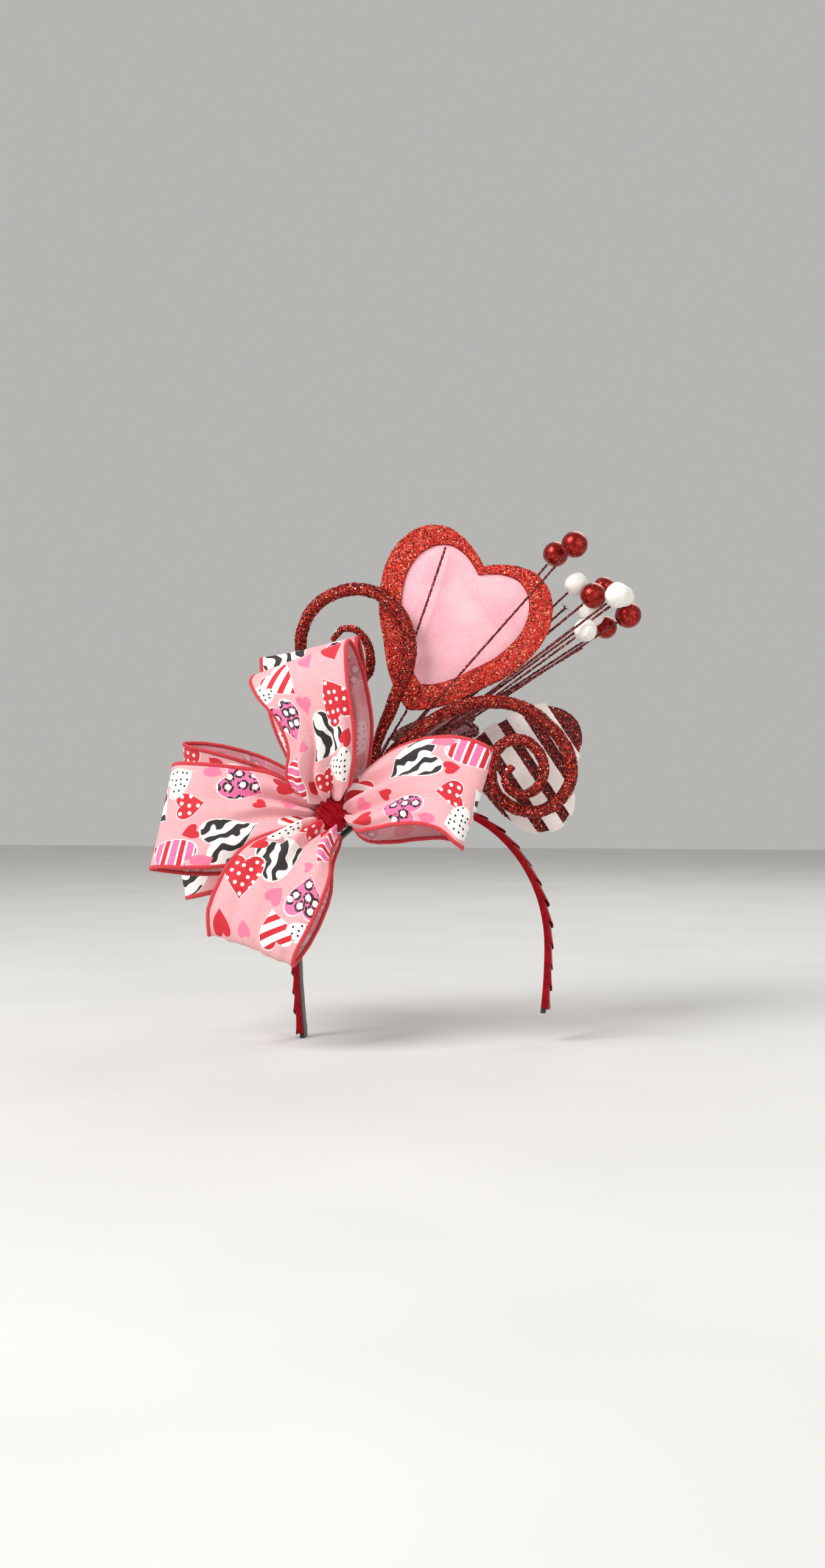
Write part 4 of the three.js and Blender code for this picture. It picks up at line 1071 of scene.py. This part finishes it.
# A circle bent to the heart's outline, at a level in the heart's own millimetres
def heartCircle(outline, level, fill="NOTHING"):
    bpy.ops.object.select_all(action="DESELECT")
    bpy.ops.mesh.primitive_circle_add(vertices=len(outline), radius=1, fill_type=fill)
    ring = bpy.context.object
    for vertex, (x, y) in zip(ring.data.vertices, outline):
        vertex.co = (x, y, level)
    return ring


def extrudeFlat(obj, depth):
    bpy.ops.object.mode_set(mode="EDIT")
    bpy.ops.mesh.select_all(action="SELECT")
    bpy.ops.mesh.extrude_region_move(TRANSFORM_OT_translate={"value": (0, 0, depth)})
    bpy.ops.mesh.select_all(action="SELECT")
    bpy.ops.mesh.normals_make_consistent(inside=False)
    bpy.ops.object.mode_set(mode="OBJECT")
    return obj


def softened(obj, width, segments=3):
    rounding = obj.modifiers.new("rounding", "BEVEL")
    rounding.width = width
    rounding.segments = segments
    rounding.limit_method = "ANGLE"
    rounding.angle_limit = math.radians(40)
    bpy.ops.object.modifier_apply(modifier=rounding.name)
    return obj


def dressed(obj, name, spec, material, node):
    obj.name = obj.data.name = name
    obj.data.transform(heartMatrix(spec))
    obj.data.materials.append(material)
    finishPiece(obj, [node], smooth=False)
    bpy.ops.object.shade_smooth_by_angle(angle=math.radians(35))
    return obj


def framedHeart(kind, spec, seed):
    outer = heartCircle(heartOutline(spec["length"], spec["half"]), -spec["depth"] / 2)
    within = spec["length"] * insert["along"], spec["half"] * insert["across"], spec["length"] * insert["start"]
    inner = heartCircle(heartOutline(*within, margin=layout["clear"]), -spec["depth"] / 2)
    outer.select_set(True)
    bpy.context.view_layer.objects.active = outer
    bpy.ops.object.join()
    bpy.ops.object.mode_set(mode="EDIT")
    bpy.ops.mesh.select_all(action="SELECT")
    bpy.ops.mesh.bridge_edge_loops()
    bpy.ops.object.mode_set(mode="OBJECT")
    rim = softened(extrudeFlat(outer, spec["depth"]), spec["edge"])
    rim = dressed(rim, f"glitter_{kind}_heart", spec, spec["coat"][0], f"{kind}_heart_frame")
    glitterFlakes(f"flakes_{kind}_heart", rim, spec["flakes"], spec["flake"], spec["coat"][1], seed)
    filling = extrudeFlat(heartCircle(heartOutline(*within), -spec["felt"] / 2, "NGON"), spec["felt"])
    felt = dressed(softened(filling, insert["bevel"], 2), f"felt_{kind}_heart", spec, spec["filling"],
                   f"{kind}_heart_insert")


# Strip of foam: a heart with its margin, sawn to the strip by two cuts, then left crumbly
def foamStrip(index, spec, offset, seed):
    level = spec["depth"] / 2 + layout["clear"]
    outline = heartOutline(spec["length"], spec["half"], margin=stripes["overhang"])
    strip = extrudeFlat(heartCircle(outline, level, "NGON"), stripes["depth"])
    normal = Vector((-math.sin(stripes["turn"]), math.cos(stripes["turn"]), 0))
    middle = Vector((0, spec["length"] * stripes["middle"], 0)) + normal * offset * stripes["pitch"]
    bpy.ops.object.mode_set(mode="EDIT")
    for way in (1, -1):
        bpy.ops.mesh.select_all(action="SELECT")
        cut = middle + normal * way * stripes["width"] / 2
        bpy.ops.mesh.bisect(plane_co=cut, plane_no=normal * way, use_fill=True, clear_outer=True)
    bpy.ops.object.mode_set(mode="OBJECT")
    grid = strip.modifiers.new("grid", "REMESH")
    grid.mode = "VOXEL"
    grid.voxel_size = stripes["voxel"]
    bpy.ops.object.modifier_apply(modifier=grid.name)
    for vertex in strip.data.vertices:
        p = vertex.co * 0.9 + Vector((0, 0, seed * 3.1))
        push = noise.noise(p) * stripes["crumble"]
        vertex.co += Vector(vertex.normal) * push
    return dressed(strip, f"foam_stripe_{index}", spec, foam, f"foam_strip_{index}")


for seed, kind in enumerate(("big", "small")):
    framedHeart(kind, hearts[kind], 31 + seed)
plate = hearts["striped"]
backing = extrudeFlat(heartCircle(heartOutline(plate["length"], plate["half"]), -plate["depth"] / 2, "NGON"), plate["depth"])
backing = dressed(softened(backing, plate["edge"]), "glitter_striped_heart", plate, darkGlitter,
                  "striped_heart")
glitterFlakes("flakes_striped_heart", backing, plate["flakes"], plate["flake"], darkChip, 35)
for index, offset in enumerate(stripes["offsets"]):
    foamStrip(index + 1, plate, offset, index)
print("hearts made")

# Berries and stems, in shares of the spray's size. Each row: across, back, up, radius as a share
# of berrySize, the seat on the spray's foot, and how far back the stem bows
berrySize = 8
berries = {
    "red_1": (0.5585, 0.07, 0.6795, 0.975, (-0.5, 1), 0.06),
    "red_2": (0.609, -0.01, 0.698, 1.012, (-0.5, 0), -0.0275),
    "white_1": (0.625, 0.09, 0.5895, 0.912, (0.5, 2), 0.07),
    "red_3": (0.6705, 0.035, 0.548, 1, (0.5, 1), 0.065),
    "red_4": (0.7165, 0.15, 0.586, 0.85, (-0.5, 3), 0.09),
    "white_2": (0.7375, -0.0275, 0.5425, 0.975, (1.5, 0), -0.02),
    "white_3": (0.768, 0.065, 0.5495, 0.8, (1.5, 1), 0.035),
    "white_4": (0.675, 0.12, 0.5005, 1.025, (1.5, 2), 0.075),
    "white_5": (0.6445, 0.0175, 0.4405, 0.887, (2.5, 0), 0.0075),
    "red_5": (0.725, 0.175, 0.464, 0.9, (0.5, 3), 0.105),
    "red_6": (0.7875, 0.11, 0.496, 1.025, (2.5, 2), 0.055),
}
stem = {"radius": 0.75, "straight": 4, "twist": 1.9, "beads": 0.3, "sides": 10, "step": 0.45}


# Tinsel twisted over wire: two strands that swell and narrow along the stem
def stemPiece(name, route, node, seed, tuft=False):
    line = [Vector(p) for p in evenly([fromSpray(p) for p in smoothLine(route, 200)], pitch=stem["step"] * mm)]
    count = len(line)

    def radiusAt(t, angle):
        turn = t * count * stem["step"] / stem["twist"] * math.pi
        strands = 0.78 + 0.22 * abs(math.cos(angle - turn))
        return stem["radius"] * mm * (strands + stem["beads"] * uneven(t * count * 0.31, angle * 0.4, seed))

    points, faces = tubeMesh(ringsAlong(line, radiusAt, stem["sides"]))
    if tuft:
        draw = np.random.RandomState(seed)
        ahead = (line[-1] - line[-4]).normalized()
        for _ in range(16):
            lean = (ahead * draw.uniform(-0.6, 0.9) + Vector(draw.normal(0, 0.6, 3))).normalized()
            fibre = [line[-1] + lean * step * draw.uniform(2.5, 4.2) * mm for step in (-0.1, 0.4, 1)]
            more, moreFaces = tubeMesh(ringsAlong(fibre, lambda t, _: (0.24 - 0.17 * t) * mm, 4))
            faces += [tuple(v + len(points) for v in f) for f in moreFaces]
            points += more
    return finishPiece(meshPiece(name, points, faces, [tinsel]), [node])


def berryPiece(name, middle, radius, towards, seed):
    bpy.ops.object.select_all(action="DESELECT")
    bpy.ops.mesh.primitive_uv_sphere_add(segments=40, ring_count=26, radius=radius)
    ball = bpy.context.object
    white = name.startswith("white")
    pole = Vector((0, 0, -1)).rotation_difference(-towards).to_matrix()
    for vertex in ball.data.vertices:
        p = vertex.co / radius
        dimple = 0.16 * math.exp(-((p - Vector((0, 0, -1))).length / 0.28) ** 2)
        lumps = 0.045 * uneven(p.x * 1.7 + seed, p.y * 1.7 + p.z, seed) + 0.012 * uneven(p.x * 9, p.y * 9 + p.z * 7, seed)
        vertex.co = p * radius * (1 - dimple + (lumps if white else 0))
    ball.data.transform(Matrix.Translation(middle) @ pole.to_4x4())
    ball.data.transform(Matrix.Translation(fromSpray((0, 0, 0))) @ (turned.to_4x4() @ Matrix.Scale(mm, 4)))
    ball.name = ball.data.name = "snow_" + name if white else "lacquer_" + name
    ball.data.materials.append(berryWhite if white else berryRed)
    return finishPiece(ball, ["berry_" + name])


for seed, (name, (across, back, up, share, seat, belly)) in enumerate(berries.items()):
    middle, radius = inSpray((across, back, up)), share * berrySize
    start = hubSeat(*seat)
    half = start.lerp(middle, 0.5)
    half.y = belly * layout["spraySize"]
    into = (middle - half).normalized()
    route = [start, start + hubAxis * stem["straight"], half, middle - into * (radius + layout["clear"])]
    stemPiece("tinsel_" + name, route, "stem_" + name, seed)
    berryPiece(name, middle, radius, into, seed)
for seed, (kind, spec) in enumerate(hearts.items()):
    start = hubSeat(*spec["seat"])
    end = spec["tip"] - heartTurn(spec) @ Vector((0, 1, 0)) * 2 * layout["clear"]
    route = [start, start + hubAxis * stem["straight"] * 0.75, start.lerp(end, 0.6), end]
    stemPiece(f"tinsel_{kind}_heart", route, f"stem_{kind}_heart", 20 + seed)
bareWires = {
    "front": ((-1.5, 0), [(0.045, -0.015, 0.2), (0.126, -0.025, 0.4195), (0.218, -0.005, 0.69)]),
    "long": ((-0.5, 2), [(0.3, 0.04, 0.255), (0.46, 0.065, 0.4), (0.5875, 0.07, 0.5125)]),
    "low": ((2.5, 1), [(0.32, 0.03, 0.195), (0.639, 0.05, 0.39)]),
}
for seed, (name, (seat, points)) in enumerate(bareWires.items()):
    start = hubSeat(*seat)
    route = [start, start + hubAxis * stem["straight"]] + [inSpray(p) for p in points]
    stemPiece("tinsel_wire_" + name, route, "bare_wire_" + name, 30 + seed, tuft=name == "long")
print("berries and stems made")

# Camera, pale floor and soft light
studio = {
    "eye": (0.1512, -0.9885, 0.0135), "turn": 9, "lens": 38.29, "floor": -0.140, "sky": 0.85,
    "lamps": {"key": ((-0.9, -1.1, 1.2), 30, 0.9), "fill": ((1.2, -1.0, 0.5), 7, 1.4), "rim": ((0.4, 1.2, 1.2), 8, 1.0)},
}
cameraData = bpy.data.cameras.new("camera")
cameraData.lens = studio["lens"]
cameraData.sensor_width = 36
camera = bpy.data.objects.new("camera", cameraData)
camera.location = studio["eye"]
camera.rotation_euler = (math.radians(90), 0, math.radians(studio["turn"]))
bpy.context.scene.collection.objects.link(camera)
bpy.context.scene.camera = camera
bpy.context.scene.view_settings.view_transform = "Standard"


def floorPaper():
    material, tree, shader = newMaterial("floorPaper", 0.9)
    cloud = speckle(tree, objectPoint(tree), 6.0)
    feed(tree, shader["Base Color"], ramp(tree, cloud, [(0.3, tone(214, 213, 210)), (0.7, tone(220, 219, 216))]))
    return material


bpy.ops.mesh.primitive_plane_add(size=6, location=(0, 0, studio["floor"]))
floor = bpy.context.object
floor.name = "floor"
floor.data.materials.append(floorPaper())
world = bpy.data.worlds.new("studio")
bpy.context.scene.world = world
world.use_nodes = True
sky = world.node_tree.nodes["Background"].inputs
sky[0].default_value = tone(196, 195, 192)
sky[1].default_value = studio["sky"]
for name, (place, power, size) in studio["lamps"].items():
    data = bpy.data.lights.new(name, "AREA")
    data.energy = power
    data.size = size
    lamp = bpy.data.objects.new(name, data)
    lamp.location = place
    lamp.rotation_euler = (-Vector(place)).to_track_quat("-Z", "Y").to_euler()
    bpy.context.scene.collection.objects.link(lamp)
